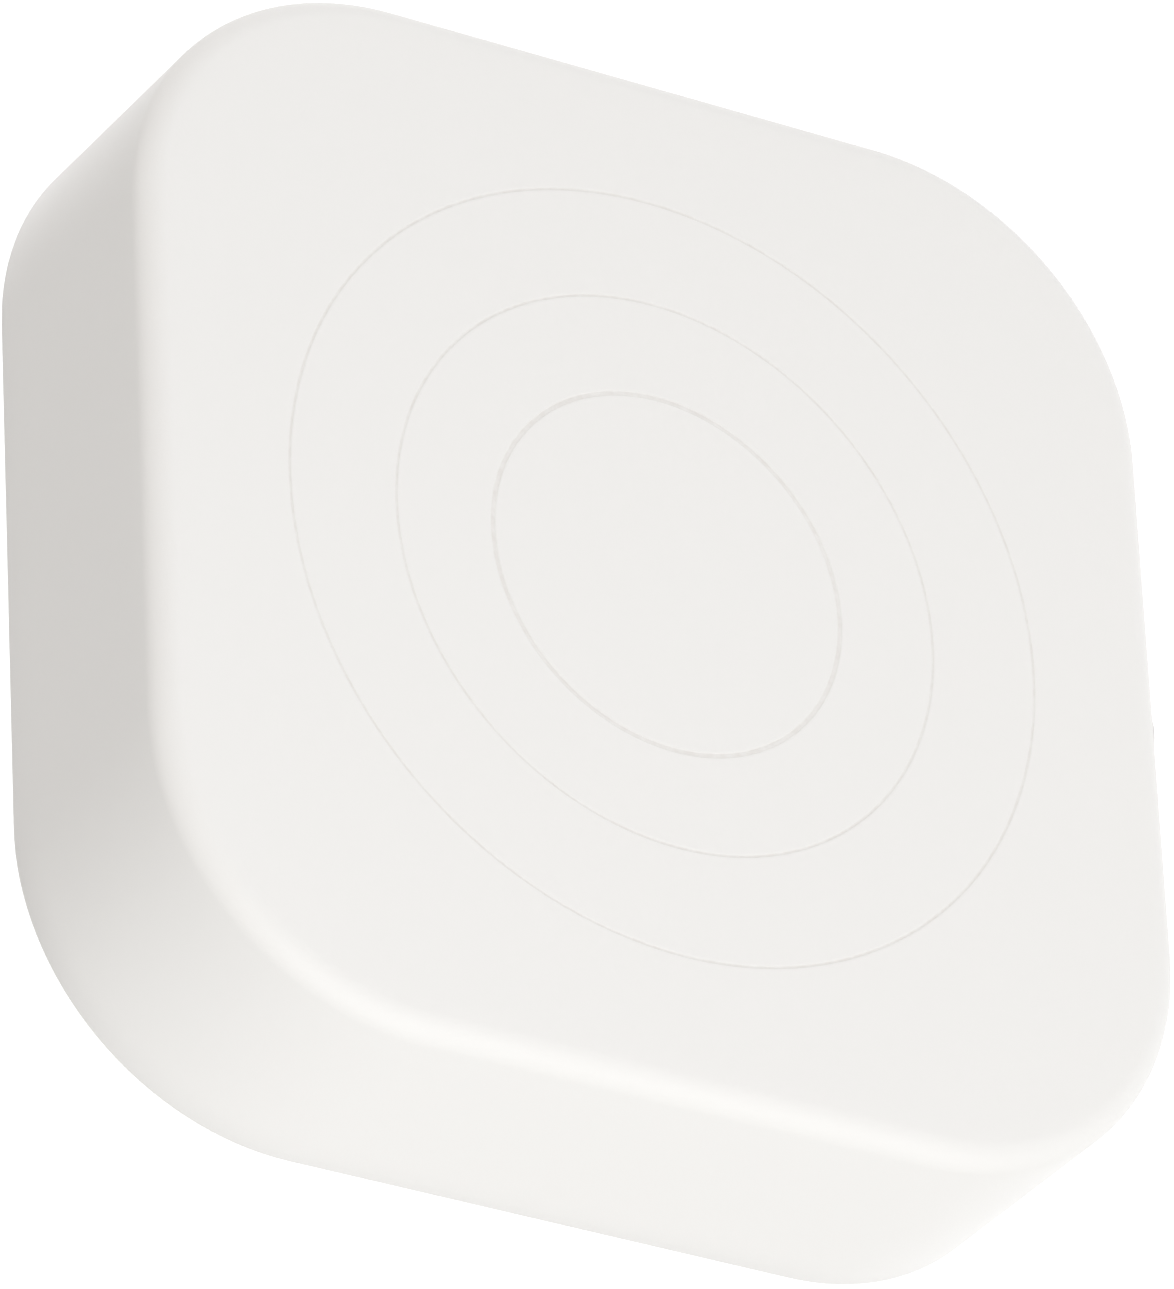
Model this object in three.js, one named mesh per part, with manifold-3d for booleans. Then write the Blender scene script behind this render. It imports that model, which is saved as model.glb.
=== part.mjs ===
// Door contact sensor: a square case with large round corners that sticks to a door frame.
// A reed switch inside closes when a magnet on the door comes near its left edge.
//
// Every piece is drawn with the sensor lying on its back: x to the right, y up the wall and
// z out of the wall towards the room. The outer group then stands it up against the wall:
// +Z up, the front face towards -Y, and the origin at the middle of the adhesive face.

import * as THREE from "three";
import { mergeVertices } from "three/addons/utils/BufferGeometryUtils.js";
import Module from "manifold-3d";

const wasm = await Module();
wasm.setup();

// ---------------------------------------------------------------- driving dimensions, mm

const CASE_HALF = 28;
const CASE_FRONT = 14.8;
const CORNER_RADIUS = 14.3;
const EDGE_RADIUS = 1.3;
const WALL = 1.6;
const ROOF = 1.6;

const RING_RADII = [9.6, 14.85, 20.6];
const RING_WIDTH = 0.2;
const RING_DEPTH = 0.1;

const PAD_THICKNESS = 0.8;
const PAD_HALF = 23.5;
const PLATE_THICKNESS = 1.6;
const PLATE_GAP = 0.25;

const BOARD_HALF = 24.1;
const BOARD_LOW = 5.4;
const BOARD_THICKNESS = 1;
const FIXING = 17.5;

const CLIP_WIDTH = 5;
const CLIP_OFFSET = 9.5;
const CATCH_REACH = 0.3;

const CELL_RADIUS = 12.25;
const CELL_HEIGHT = 5;
const CELL_X = -3;
const CELL_Y = -8;
const CELL_LOW = 7.15;
const HOLDER_GAP = 0.25;
const HOLDER_WALL = 1.2;
const HOLDER_TOP = 10.4;
const HOLDER_END = -14;

const BUTTON_HEIGHT = 9.6;
const BUTTON_RADIUS = 2.75;
const BUTTON_PROUD = 1.33;
const BUTTON_GAP = 0.2;
const FLANGE_RADIUS = 3.4;

const REED_X = -20.8;
const REED_HEIGHT = 8.2;
const REED_HALF = 7;

const GUIDE_RADIUS = RING_RADII[0];
const GUIDE_WIDTH = 2;
const GUIDE_THICKNESS = 0.5;

// ------------------------------------------------------------------------ derived levels

const CASE_REAR = PAD_THICKNESS;
const INNER_HALF = CASE_HALF - WALL;
const INNER_CORNER = CORNER_RADIUS - WALL;
const ROOF_LOW = CASE_FRONT - ROOF;
const PLATE_TOP = CASE_REAR + PLATE_THICKNESS;
const PLATE_HALF = INNER_HALF - PLATE_GAP;
const PLATE_CORNER = INNER_CORNER - PLATE_GAP;
const PAD_CORNER = CORNER_RADIUS - (CASE_HALF - PAD_HALF);
const BOARD_TOP = BOARD_LOW + BOARD_THICKNESS;
const BOARD_CORNER = CORNER_RADIUS - (CASE_HALF - BOARD_HALF);
const CELL_TOP = CELL_LOW + CELL_HEIGHT;
const FULL_TURN = 2 * Math.PI;

// ------------------------------------------------------------------------------ finishes

const finish = (color, roughness, metalness = 0) =>
  new THREE.MeshStandardMaterial({ color, roughness, metalness });

const FINISHES = {
  whiteShell: finish(0xf0efed, 0.5),
  whiteBase: finish(0xe9e8e5, 0.55),
  milkyGuide: finish(0xf6f4ee, 0.3),
  foam: finish(0xdcdad4, 0.9),
  boardGreen: finish(0x1f5a3a, 0.45),
  blackPlastic: finish(0x1b1c1e, 0.5),
  steel: finish(0xc3c5c8, 0.3, 1),
  springSteel: finish(0xb9bbbe, 0.35, 1),
  nickelLead: finish(0xcfc9bb, 0.3, 1),
  gasketGrey: finish(0x2e3033, 0.7),
  electrode: finish(0x4a4b4d, 0.8),
  reedGlass: finish(0xd9efe3, 0.05),
  chipBlack: finish(0x17181a, 0.6),
  capacitorTan: finish(0xc99a3a, 0.5),
  ledWhite: finish(0xf4f2dc, 0.3),
};

// --------------------------------------------------------------------------- shape tools

// A square outline with round corners.
function roundedSquare(half, corner) {
  const straight = half - corner;
  const shape = new THREE.Shape();
  shape.absarc(straight, straight, corner, 0, FULL_TURN / 4);
  shape.absarc(-straight, straight, corner, FULL_TURN / 4, FULL_TURN / 2);
  shape.absarc(-straight, -straight, corner, FULL_TURN / 2, (3 * FULL_TURN) / 4);
  shape.absarc(straight, -straight, corner, (3 * FULL_TURN) / 4, FULL_TURN);
  return shape;
}

// An outline filled from one height to another.
function slab(shape, low, high, curveSegments = 8) {
  const depth = high - low;
  const geometry = new THREE.ExtrudeGeometry(shape, { depth, bevelEnabled: false, curveSegments });
  return geometry.translate(0, 0, low);
}

// A box given by its lowest and highest corner.
function block(xLow, xHigh, yLow, yHigh, zLow, zHigh) {
  const geometry = new THREE.BoxGeometry(xHigh - xLow, yHigh - yLow, zHigh - zLow);
  return geometry.translate((xLow + xHigh) / 2, (yLow + yHigh) / 2, (zLow + zHigh) / 2);
}

// A round pin standing on the wall side, from one height to another.
function pin(radius, low, high, x, y, sides = 20) {
  const geometry = new THREE.CylinderGeometry(radius, radius, high - low, sides);
  return geometry.rotateX(FULL_TURN / 4).translate(x, y, (low + high) / 2);
}

// A profile of [radius, height] pairs turned about the z axis. It runs up its outer side,
// and starts and ends on the axis or closes on itself.
function turned(profile, segments) {
  const points = profile.map(([radius, height]) => new THREE.Vector2(radius, height));
  return new THREE.LatheGeometry(points, segments).rotateX(FULL_TURN / 4);
}

// A ring with a rectangular section.
function ring(inner, outer, low, high, segments) {
  const profile = [[inner, low], [outer, low], [outer, high], [inner, high], [inner, low]];
  return turned(profile, segments);
}

// An outline of [y, z] pairs, extruded along x from one place to another.
function sideways(outline, xLow, xHigh) {
  const shape = new THREE.Shape(outline.map(([y, z]) => new THREE.Vector2(y, z)));
  const geometry = new THREE.ExtrudeGeometry(shape, { depth: xHigh - xLow, bevelEnabled: false });
  return geometry.rotateX(FULL_TURN / 4).rotateZ(FULL_TURN / 4).translate(xLow, 0, 0);
}

// A strip bent along a line of [y, z] pairs that runs towards +y, with its thickness along z.
function bentStrip(line, thickness, xLow, xHigh) {
  const over = line.map(([y, z]) => [y, z + thickness]).reverse();
  return sideways([...line, ...over], xLow, xHigh);
}

// ------------------------------------------------------------------- joining and cutting

const MERGE_DISTANCE = 1e-4;

function solidOf(geometry) {
  const bare = geometry.clone();
  bare.deleteAttribute("normal");
  bare.deleteAttribute("uv");
  const merged = mergeVertices(bare, MERGE_DISTANCE);
  const vertProperties = merged.attributes.position.array;
  const triVerts = new Uint32Array(merged.index.array);
  return new wasm.Manifold(new wasm.Mesh({ numProp: 3, vertProperties, triVerts }));
}

function geometryOf(solid) {
  const mesh = solid.getMesh();
  const geometry = new THREE.BufferGeometry();
  geometry.setAttribute("position", new THREE.BufferAttribute(mesh.vertProperties, 3));
  geometry.setIndex(new THREE.BufferAttribute(mesh.triVerts, 1));
  geometry.computeVertexNormals();
  return geometry;
}

// The first geometry with the others added to it, less the cuts.
function formed(geometries, cuts = []) {
  const [first, ...others] = geometries.map(solidOf);
  const whole = others.reduce((sum, other) => sum.add(other), first);
  return geometryOf(cuts.map(solidOf).reduce((rest, cut) => rest.subtract(cut), whole));
}

// A piece drawn against the right wall, repeated twice on each of the four walls.
function onEveryWall(piece) {
  const copies = [];
  for (let quarter = 0; quarter < 4; quarter += 1) {
    for (const offset of [-CLIP_OFFSET, CLIP_OFFSET]) {
      copies.push(piece.clone().translate(0, offset, 0).rotateZ((quarter * FULL_TURN) / 4));
    }
  }
  return copies;
}

// ----------------------------------------------------------------------------- the scene

const lying = new THREE.Group();
lying.rotation.x = FULL_TURN / 4;

function add(name, geometry, material, parent = lying) {
  const mesh = new THREE.Mesh(geometry, material);
  mesh.name = name;
  parent.add(mesh);
  return mesh;
}

// --------------------------------------------------------------------------- front cover

// The outside of the case, with a rounded front edge and its rear edge cut square.
function coverBlank() {
  const geometry = new THREE.ExtrudeGeometry(roundedSquare(CASE_HALF, CORNER_RADIUS), {
    depth: CASE_FRONT - EDGE_RADIUS,
    bevelThickness: EDGE_RADIUS,
    bevelSize: EDGE_RADIUS,
    bevelOffset: -EDGE_RADIUS,
    bevelSegments: 4,
    curveSegments: 12,
  });
  return geometry;
}

function ringGrooves() {
  return RING_RADII.map((radius) =>
    ring(radius - RING_WIDTH / 2, radius + RING_WIDTH / 2, CASE_FRONT - RING_DEPTH, CASE_FRONT + 1, 48),
  );
}

// Two rails with lips on the right wall, which keep the button's flange against the wall.
function buttonRails() {
  const lipLow = INNER_HALF - 2;
  const lipHigh = lipLow + 0.5;
  const railLow = BUTTON_HEIGHT - 4;
  const inRoof = ROOF_LOW + 0.2;
  const inWall = INNER_HALF + 0.2;
  return [-1, 1].flatMap((side) => {
    const span = (near, far) => [Math.min(side * near, side * far), Math.max(side * near, side * far)];
    return [
      block(lipLow, inWall, ...span(3.8, 4.6), railLow, inRoof),
      block(lipLow, lipHigh, ...span(3, 4.6), railLow, inRoof),
    ];
  });
}

function frontCover() {
  const hollow = slab(roundedSquare(INNER_HALF, INNER_CORNER), CASE_REAR - 1, ROOF_LOW, 12);
  const belowRear = block(-30, 30, -30, 30, -2, CASE_REAR);
  const buttonHole = new THREE.CylinderGeometry(
    BUTTON_RADIUS + BUTTON_GAP, BUTTON_RADIUS + BUTTON_GAP, 4, 28,
  );
  buttonHole.rotateZ(FULL_TURN / 4).translate(CASE_HALF - 1, 0, BUTTON_HEIGHT);
  const pryNotch = block(-4, 4, INNER_HALF - 1, CASE_HALF + 1, CASE_REAR - 1, PLATE_TOP - 0.4);
  const shell = formed([coverBlank()], [hollow, belowRear, buttonHole, pryNotch, ...ringGrooves()]);
  const catchLedge = block(
    INNER_HALF - CATCH_REACH, INNER_HALF + 0.2, -CLIP_WIDTH / 2, CLIP_WIDTH / 2, 4, 4.6,
  );
  return formed([shell, ...onEveryWall(catchLedge), ...buttonRails()]);
}

// A milky ring behind the innermost groove, with a leg that brings the lamp's light to it.
function lightGuide() {
  const low = ROOF_LOW - GUIDE_THICKNESS;
  const halfWidth = GUIDE_WIDTH / 2;
  const halo = ring(GUIDE_RADIUS - halfWidth, GUIDE_RADIUS + halfWidth, low, ROOF_LOW, 32);
  return formed([halo, pin(0.9, BOARD_TOP + 1, low + 0.2, 0, GUIDE_RADIUS, 12)]);
}

const cover = new THREE.Group();
lying.add(cover);
add("front_cover", frontCover(), FINISHES.whiteShell, cover);
add("light_guide", lightGuide(), FINISHES.milkyGuide, cover);

// --------------------------------------------------------------------------- side button

// The button is turned about its own axis and laid through the right wall.
function sideButton() {
  const postEnd = 22.7;
  const flangeLow = 25.5;
  const flangeHigh = INNER_HALF - 0.1;
  const tip = CASE_HALF + BUTTON_PROUD;
  const round = 0.4;
  const profile = [
    [0, postEnd], [1.7, postEnd], [1.7, flangeLow],
    [FLANGE_RADIUS, flangeLow], [FLANGE_RADIUS, flangeHigh],
    [BUTTON_RADIUS, flangeHigh], [BUTTON_RADIUS, tip - round],
    [BUTTON_RADIUS - 0.12, tip - 0.12], [BUTTON_RADIUS - round, tip], [0, tip],
  ];
  return turned(profile, 28).rotateY(FULL_TURN / 4).translate(0, 0, BUTTON_HEIGHT);
}

add("side_button", sideButton(), FINISHES.whiteShell, cover);

// --------------------------------------------------------- back plate and adhesive pad

// A snap hook, drawn on the right wall: a leaf with a barb above the cover's catch.
function snapHook() {
  const leafLow = PLATE_HALF - 1.4;
  const leafHigh = PLATE_HALF - 0.3;
  const barb = INNER_HALF - CATCH_REACH - 0.1;
  const shape = new THREE.Shape();
  shape.moveTo(leafLow, PLATE_TOP - 0.3);
  shape.lineTo(leafHigh, PLATE_TOP - 0.3);
  shape.lineTo(leafHigh, 4.8);
  shape.lineTo(barb, 4.8);
  shape.lineTo(leafHigh - 0.3, 6.2);
  shape.lineTo(leafLow, 6.2);
  const geometry = new THREE.ExtrudeGeometry(shape, { depth: CLIP_WIDTH, bevelEnabled: false });
  return geometry.rotateX(FULL_TURN / 4).translate(0, CLIP_WIDTH / 2, 0);
}

const SCREW_PLACES = [[-FIXING, -FIXING], [FIXING, FIXING]];
const PIN_PLACES = [[FIXING, -FIXING], [-FIXING, FIXING]];

function backPlate() {
  const plate = slab(roundedSquare(PLATE_HALF, PLATE_CORNER), CASE_REAR, PLATE_TOP);
  const posts = [...SCREW_PLACES, ...PIN_PLACES].map(([x, y]) =>
    pin(2.2, PLATE_TOP - 0.3, BOARD_LOW, x, y),
  );
  const locatingPins = PIN_PLACES.map(([x, y]) => pin(0.9, BOARD_LOW - 0.3, BOARD_TOP + 1, x, y, 12));
  const screwHoles = SCREW_PLACES.map(([x, y]) => pin(1.1, PLATE_TOP + 0.2, BOARD_LOW + 1, x, y, 16));
  return formed([plate, ...posts, ...locatingPins, ...onEveryWall(snapHook())], screwHoles);
}

add("back_plate", backPlate(), FINISHES.whiteBase);
add("adhesive_pad", slab(roundedSquare(PAD_HALF, PAD_CORNER), 0, PAD_THICKNESS), FINISHES.foam);

// --------------------------------------------------------------- circuit board and screws

function circuitBoard() {
  const board = slab(roundedSquare(BOARD_HALF, BOARD_CORNER), BOARD_LOW, BOARD_TOP);
  const holes = [
    ...SCREW_PLACES.map(([x, y]) => pin(1.2, BOARD_LOW - 1, BOARD_TOP + 1, x, y, 16)),
    ...PIN_PLACES.map(([x, y]) => pin(1, BOARD_LOW - 1, BOARD_TOP + 1, x, y, 16)),
  ];
  return formed([board], holes);
}

function panHeadScrew() {
  const shankLow = PLATE_TOP + 0.5;
  const profile = [
    [0, shankLow], [0.6, shankLow], [1, shankLow + 0.5], [1, BOARD_TOP],
    [2, BOARD_TOP], [2, BOARD_TOP + 0.7], [1.4, BOARD_TOP + 1.3], [0, BOARD_TOP + 1.3],
  ];
  return turned(profile, 20);
}

add("circuit_board", circuitBoard(), FINISHES.boardGreen);
SCREW_PLACES.forEach(([x, y], index) => {
  const screw = add("board_screw_" + (index + 1), panHeadScrew(), FINISHES.steel);
  screw.position.set(x, y, 0);
});

// ------------------------------------------------------- battery holder and its contacts

// A wall round the upper half of the cell, with straight legs, open at its lower end.
function holderOutline(inner, outer) {
  const shape = new THREE.Shape();
  shape.moveTo(CELL_X + outer, HOLDER_END);
  shape.absarc(CELL_X, CELL_Y, outer, 0, FULL_TURN / 2);
  shape.lineTo(CELL_X - outer, HOLDER_END);
  shape.lineTo(CELL_X - inner, HOLDER_END);
  shape.absarc(CELL_X, CELL_Y, inner, FULL_TURN / 2, 0, true);
  shape.lineTo(CELL_X + inner, HOLDER_END);
  return shape;
}

function batteryHolder() {
  const inner = CELL_RADIUS + HOLDER_GAP;
  const outer = inner + HOLDER_WALL;
  const wall = slab(holderOutline(inner, outer), BOARD_TOP, HOLDER_TOP, 20);
  const ledge = slab(holderOutline(inner - 1.1, outer - 0.2), BOARD_TOP, CELL_LOW - 0.05, 20);
  return formed([wall, ledge]);
}

// A sprung strip from the board over the top of the cell.
function batteryClip() {
  const underside = CELL_TOP + 0.05;
  const top = underside + 0.25;
  const outline = [
    [6.2, BOARD_TOP], [6.45, BOARD_TOP], [6.45, top], [CELL_Y, top], [CELL_Y, underside], [6.2, underside],
  ];
  return sideways(outline, CELL_X - 2.5, CELL_X + 2.5);
}

// An arched leaf on the board, which presses on the cell from below.
function batteryContact() {
  const arch = CELL_LOW - 0.25;
  const line = [
    [CELL_Y - 6, BOARD_TOP], [CELL_Y - 4, BOARD_TOP], [CELL_Y - 0.8, arch],
    [CELL_Y + 0.8, arch], [CELL_Y + 4, BOARD_TOP], [CELL_Y + 6, BOARD_TOP],
  ];
  return bentStrip(line, 0.2, CELL_X - 1.5, CELL_X + 1.5);
}

add("battery_holder", batteryHolder(), FINISHES.blackPlastic);
add("battery_clip", batteryClip(), FINISHES.springSteel);
add("battery_contact", batteryContact(), FINISHES.springSteel);

// ------------------------------------------------------------------------------ coin cell

const CAN_WALL = 0.25;
const CAP_RADIUS = 10.9;
const CELL_SEGMENTS = 32;

// The positive can: a cup with its floor towards the room.
function cellCan() {
  const inside = CELL_RADIUS - CAN_WALL;
  const rim = CELL_LOW + 0.2;
  return turned([
    [inside, rim], [CELL_RADIUS, rim], [CELL_RADIUS, CELL_TOP - 0.5], [CELL_RADIUS - 0.5, CELL_TOP],
    [0, CELL_TOP], [0, CELL_TOP - CAN_WALL], [inside - 0.3, CELL_TOP - CAN_WALL],
    [inside, CELL_TOP - 0.6], [inside, rim],
  ], CELL_SEGMENTS);
}

// The negative cap: a shallow cup the other way up, inside the can.
function cellCap() {
  const outside = CAP_RADIUS;
  const inside = outside - CAN_WALL;
  const floor = CELL_LOW + CAN_WALL;
  const rim = CELL_LOW + 3;
  return turned([
    [0, CELL_LOW], [outside - 0.4, CELL_LOW], [outside, CELL_LOW + 0.4], [outside, rim],
    [inside, rim], [inside, floor + 0.3], [inside - 0.3, floor], [0, floor],
  ], CELL_SEGMENTS);
}

const cell = new THREE.Group();
cell.position.set(CELL_X, CELL_Y, 0);
lying.add(cell);
add("coin_cell_can", cellCan(), FINISHES.steel, cell);
add("coin_cell_cap", cellCap(), FINISHES.steel, cell);
add(
  "coin_cell_gasket",
  ring(CAP_RADIUS + 0.05, CELL_RADIUS - CAN_WALL - 0.05, CELL_LOW + 0.15, CELL_LOW + 3.2, CELL_SEGMENTS),
  FINISHES.gasketGrey,
  cell,
);
add(
  "coin_cell_electrodes",
  pin(CAP_RADIUS - CAN_WALL - 0.35, CELL_LOW + CAN_WALL + 0.05, CELL_TOP - 0.35, 0, 0, CELL_SEGMENTS),
  FINISHES.electrode,
  cell,
);

// ---------------------------------------------------------------------------- reed switch

const LEAD_HALF = 0.25;
const BLADE_HALF_WIDTH = 0.5;
const BLADE_THICKNESS = 0.2;
const LEAD_END = 9.4;
const BLADE_OVERLAP = 0.7;

// A glass tube along y, necked in where each lead leaves it.
function reedGlass() {
  const end = REED_HALF;
  const profile = [
    [0.55, -end], [0.9, -end], [1.2, -end + 0.4], [1.2, end - 0.4], [0.9, end], [0.55, end],
    [0.55, end - 0.5], [0.85, end - 0.9], [0.85, -end + 0.9], [0.55, -end + 0.5], [0.55, -end],
  ];
  return turned(profile, 16).rotateX(-FULL_TURN / 4);
}

// A wire from the board, through the end of the glass. It is drawn for the lower end.
function reedLead(innerEnd) {
  const drop = BOARD_TOP - REED_HEIGHT;
  return [
    block(-LEAD_HALF, LEAD_HALF, -LEAD_END, -LEAD_END + 2 * LEAD_HALF, drop, LEAD_HALF),
    block(-LEAD_HALF, LEAD_HALF, -LEAD_END, -innerEnd, -LEAD_HALF, LEAD_HALF),
  ];
}

function fixedLead() {
  const bladeTop = -0.15;
  const blade = block(
    -BLADE_HALF_WIDTH, BLADE_HALF_WIDTH, -6, BLADE_OVERLAP, bladeTop - BLADE_THICKNESS, bladeTop,
  );
  return formed([...reedLead(5.8), blade]);
}

function movingBlade() {
  const bladeLow = 0.05;
  return block(
    -BLADE_HALF_WIDTH, BLADE_HALF_WIDTH, -BLADE_OVERLAP, 6.3, bladeLow, bladeLow + BLADE_THICKNESS,
  );
}

const reed = new THREE.Group();
reed.position.set(REED_X, 0, REED_HEIGHT);
lying.add(reed);
add("reed_glass", reedGlass(), FINISHES.reedGlass, reed);
add("reed_lead_fixed", fixedLead(), FINISHES.nickelLead, reed);
add("reed_lead_moving", formed(reedLead(6.4)).rotateZ(FULL_TURN / 2), FINISHES.nickelLead, reed);
add("reed_blade", movingBlade(), FINISHES.nickelLead, reed);

// ---------------------------------------------------------------------- side tact switch

const SWITCH_LOW_X = 17.5;
const SWITCH_HIGH_X = 21;
const SWITCH_HALF = 2.5;
const SWITCH_TOP = BOARD_TOP + 6;
const STEM_RADIUS = 1.5;

// A pin along x at the height of the button.
const crosswise = (radius, xLow, xHigh) =>
  pin(radius, xLow, xHigh, 0, 0).rotateY(FULL_TURN / 4).translate(0, 0, BUTTON_HEIGHT);

function switchBody() {
  const body = block(SWITCH_LOW_X, SWITCH_HIGH_X, -SWITCH_HALF, SWITCH_HALF, BOARD_TOP, SWITCH_TOP);
  return formed([body], [crosswise(STEM_RADIUS + 0.2, SWITCH_HIGH_X - 1.2, SWITCH_HIGH_X + 1)]);
}

// A steel strap over the switch that holds it on the board.
function switchBracket() {
  const inner = SWITCH_HALF + 0.05;
  const outer = inner + 0.25;
  const innerTop = SWITCH_TOP + 0.05;
  const outerTop = innerTop + 0.25;
  const outline = [
    [-outer, BOARD_TOP], [-inner, BOARD_TOP], [-inner, innerTop], [inner, innerTop],
    [inner, BOARD_TOP], [outer, BOARD_TOP], [outer, outerTop], [-outer, outerTop],
  ];
  return sideways(outline, SWITCH_LOW_X + 0.3, SWITCH_HIGH_X - 0.3);
}

add("tact_switch_body", switchBody(), FINISHES.blackPlastic);
add("tact_switch_bracket", switchBracket(), FINISHES.springSteel);
add("tact_switch_stem", crosswise(STEM_RADIUS, SWITCH_HIGH_X - 0.8, 22.6), FINISHES.blackPlastic);

// ------------------------------------------------------------------ radio and electronics

// A flat-topped component on a surface, given by its middle and its size.
const component = (x, y, width, length, height, base = BOARD_TOP) =>
  block(x - width / 2, x + width / 2, y - length / 2, y + length / 2, base, base + height);

const RADIO_X = -8;
const RADIO_Y = 17;
const RADIO_TOP = BOARD_TOP + 0.8;
const SHIELD_WALL = 0.2;
const SHIELD_HEIGHT = 1.8;

function radioShield() {
  const outside = component(RADIO_X, RADIO_Y - 1, 9, 7.5, SHIELD_HEIGHT, RADIO_TOP);
  const hollow = component(
    RADIO_X, RADIO_Y - 1, 9 - 2 * SHIELD_WALL, 7.5 - 2 * SHIELD_WALL,
    SHIELD_HEIGHT - SHIELD_WALL + 1, RADIO_TOP - 1,
  );
  return formed([outside], [hollow]);
}

// A bent metal strip that stands on two legs along the upper edge of the board.
function antenna() {
  const shape = new THREE.Shape();
  const left = 3;
  const right = 15;
  const legTop = BOARD_TOP + 1.6;
  const top = BOARD_TOP + 3;
  [
    [left, BOARD_TOP], [left + 0.8, BOARD_TOP], [left + 0.8, legTop], [left + 3, legTop],
    [left + 3, BOARD_TOP], [left + 3.8, BOARD_TOP], [left + 3.8, legTop], [right, legTop],
    [right, top], [left, top],
  ].forEach(([x, z], index) => (index ? shape.lineTo(x, z) : shape.moveTo(x, z)));
  const geometry = new THREE.ExtrudeGeometry(shape, { depth: 0.4, bevelEnabled: false });
  return geometry.rotateX(FULL_TURN / 4).translate(0, 21.8, 0);
}

add("radio_board", component(RADIO_X, RADIO_Y, 12, 11, 0.8), FINISHES.boardGreen);
add("radio_chip", component(RADIO_X, RADIO_Y - 1, 5, 5, 0.85, RADIO_TOP), FINISHES.chipBlack);
add("radio_shield", radioShield(), FINISHES.steel);
add("antenna", antenna(), FINISHES.nickelLead);
add("microcontroller", component(17, -10.5, 7, 7, 0.9), FINISHES.chipBlack);
add("voltage_regulator", component(11, 9.5, 3, 1.7, 1.1), FINISHES.chipBlack);
add("crystal", component(12, 14, 3.2, 2.5, 0.8), FINISHES.nickelLead);
add("capacitor", component(6.5, 14, 3.5, 2.8, 1.9), FINISHES.capacitorTan);
add("status_led", component(0, GUIDE_RADIUS, 1.6, 1.6, 0.7), FINISHES.ledWhite);

export default lying;
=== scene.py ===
import math

import bmesh
import bpy
from mathutils import Matrix, Vector


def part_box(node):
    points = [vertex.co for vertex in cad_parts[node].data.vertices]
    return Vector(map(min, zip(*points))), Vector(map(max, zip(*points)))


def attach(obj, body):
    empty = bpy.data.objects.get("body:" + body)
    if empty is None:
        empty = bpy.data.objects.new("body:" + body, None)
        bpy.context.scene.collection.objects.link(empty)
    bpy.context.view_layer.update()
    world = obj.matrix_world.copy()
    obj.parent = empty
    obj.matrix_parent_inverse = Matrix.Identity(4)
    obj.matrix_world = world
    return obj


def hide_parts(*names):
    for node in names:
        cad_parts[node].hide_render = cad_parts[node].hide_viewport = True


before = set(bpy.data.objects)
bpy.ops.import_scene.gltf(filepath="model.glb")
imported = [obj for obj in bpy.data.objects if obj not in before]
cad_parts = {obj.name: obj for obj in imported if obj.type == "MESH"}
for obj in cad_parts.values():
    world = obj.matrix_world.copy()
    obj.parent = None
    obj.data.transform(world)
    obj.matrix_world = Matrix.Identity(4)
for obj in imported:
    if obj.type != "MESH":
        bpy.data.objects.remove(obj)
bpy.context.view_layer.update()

bl_info = {
    "name": "Door Contact Sensor",
    "version": (1, 0, 0),
    "blender": (4, 5, 0),
    "location": "3D View > Sidebar > Door Sensor",
    "description": "Builds the visible pieces of a door contact sensor round its CAD frame",
    "category": "Add Mesh",
}

MM = 0.001
FULL_TURN = 2 * math.pi
COVER_LOW, COVER_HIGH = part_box("front_cover")
PAD_LOW, PAD_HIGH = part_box("adhesive_pad")
BUTTON_LOW, BUTTON_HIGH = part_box("side_button")
PLATE_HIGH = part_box("back_plate")[1]

# Edges sharper than this stay sharp when a piece is shaded smooth.
SHARP_EDGE = math.radians(32)

# Places of the snap hooks along each wall, and half their width, in millimetres.
HOOK_PLACES = (-9.5, 9.5)
HOOK_HALF = 2.5


# ------------------------------------------------------------------------------- settings


def number(name, description, default, **options):
    """A number that a user can change."""
    return bpy.props.FloatProperty(name=name, description=description, default=default, **options)


def numbers(name, description, default, **options):
    """Three numbers that a user can change."""
    return bpy.props.FloatVectorProperty(
        name=name, description=description, default=default, size=3, **options
    )


def length(name, description, default):
    """A size in metres that a user can change."""
    return number(name, description, default, unit="LENGTH", precision=5)


def lengths(name, description, default):
    """Three sizes in metres that a user can change."""
    return numbers(name, description, default, unit="LENGTH", precision=5)


def colour(name, description, default):
    """A colour that a user can change."""
    return numbers(name, description, default, subtype="COLOR", min=0, max=1)


def angle(name, description, degrees):
    """An angle that a user can change."""
    return number(name, description, math.radians(degrees), subtype="ANGLE")


class CaseSizes(bpy.types.PropertyGroup):
    """Sizes of the cover, the button and the pad's paper."""

    corner_radius: length("Corner radius", "Radius of the case's four large corners", 14.3 * MM)
    edge_radius: length("Edge radius", "Rounding between the face and the side walls", 1.3 * MM)
    wall: length("Wall", "Thickness of the cover's walls and roof", 1.6 * MM)
    ring_radii: lengths("Ring radii", "Radii of the rings in the face, the innermost one first",
                        (9.6 * MM, 14.85 * MM, 20.6 * MM))
    ring_widths: lengths("Ring widths", "Widths of the grooves, the innermost one first",
                         (0.26 * MM, 0.14 * MM, 0.14 * MM))
    ring_depth: length("Ring depth", "Depth of each groove", 0.03 * MM)
    button_radius: length("Button radius", "Radius of the side button", 2.75 * MM)
    button_gap: length("Button gap", "Gap round the side button", 0.2 * MM)
    liner_thickness: length("Liner thickness", "Thickness of the paper on the pad", 0.07 * MM)


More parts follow.
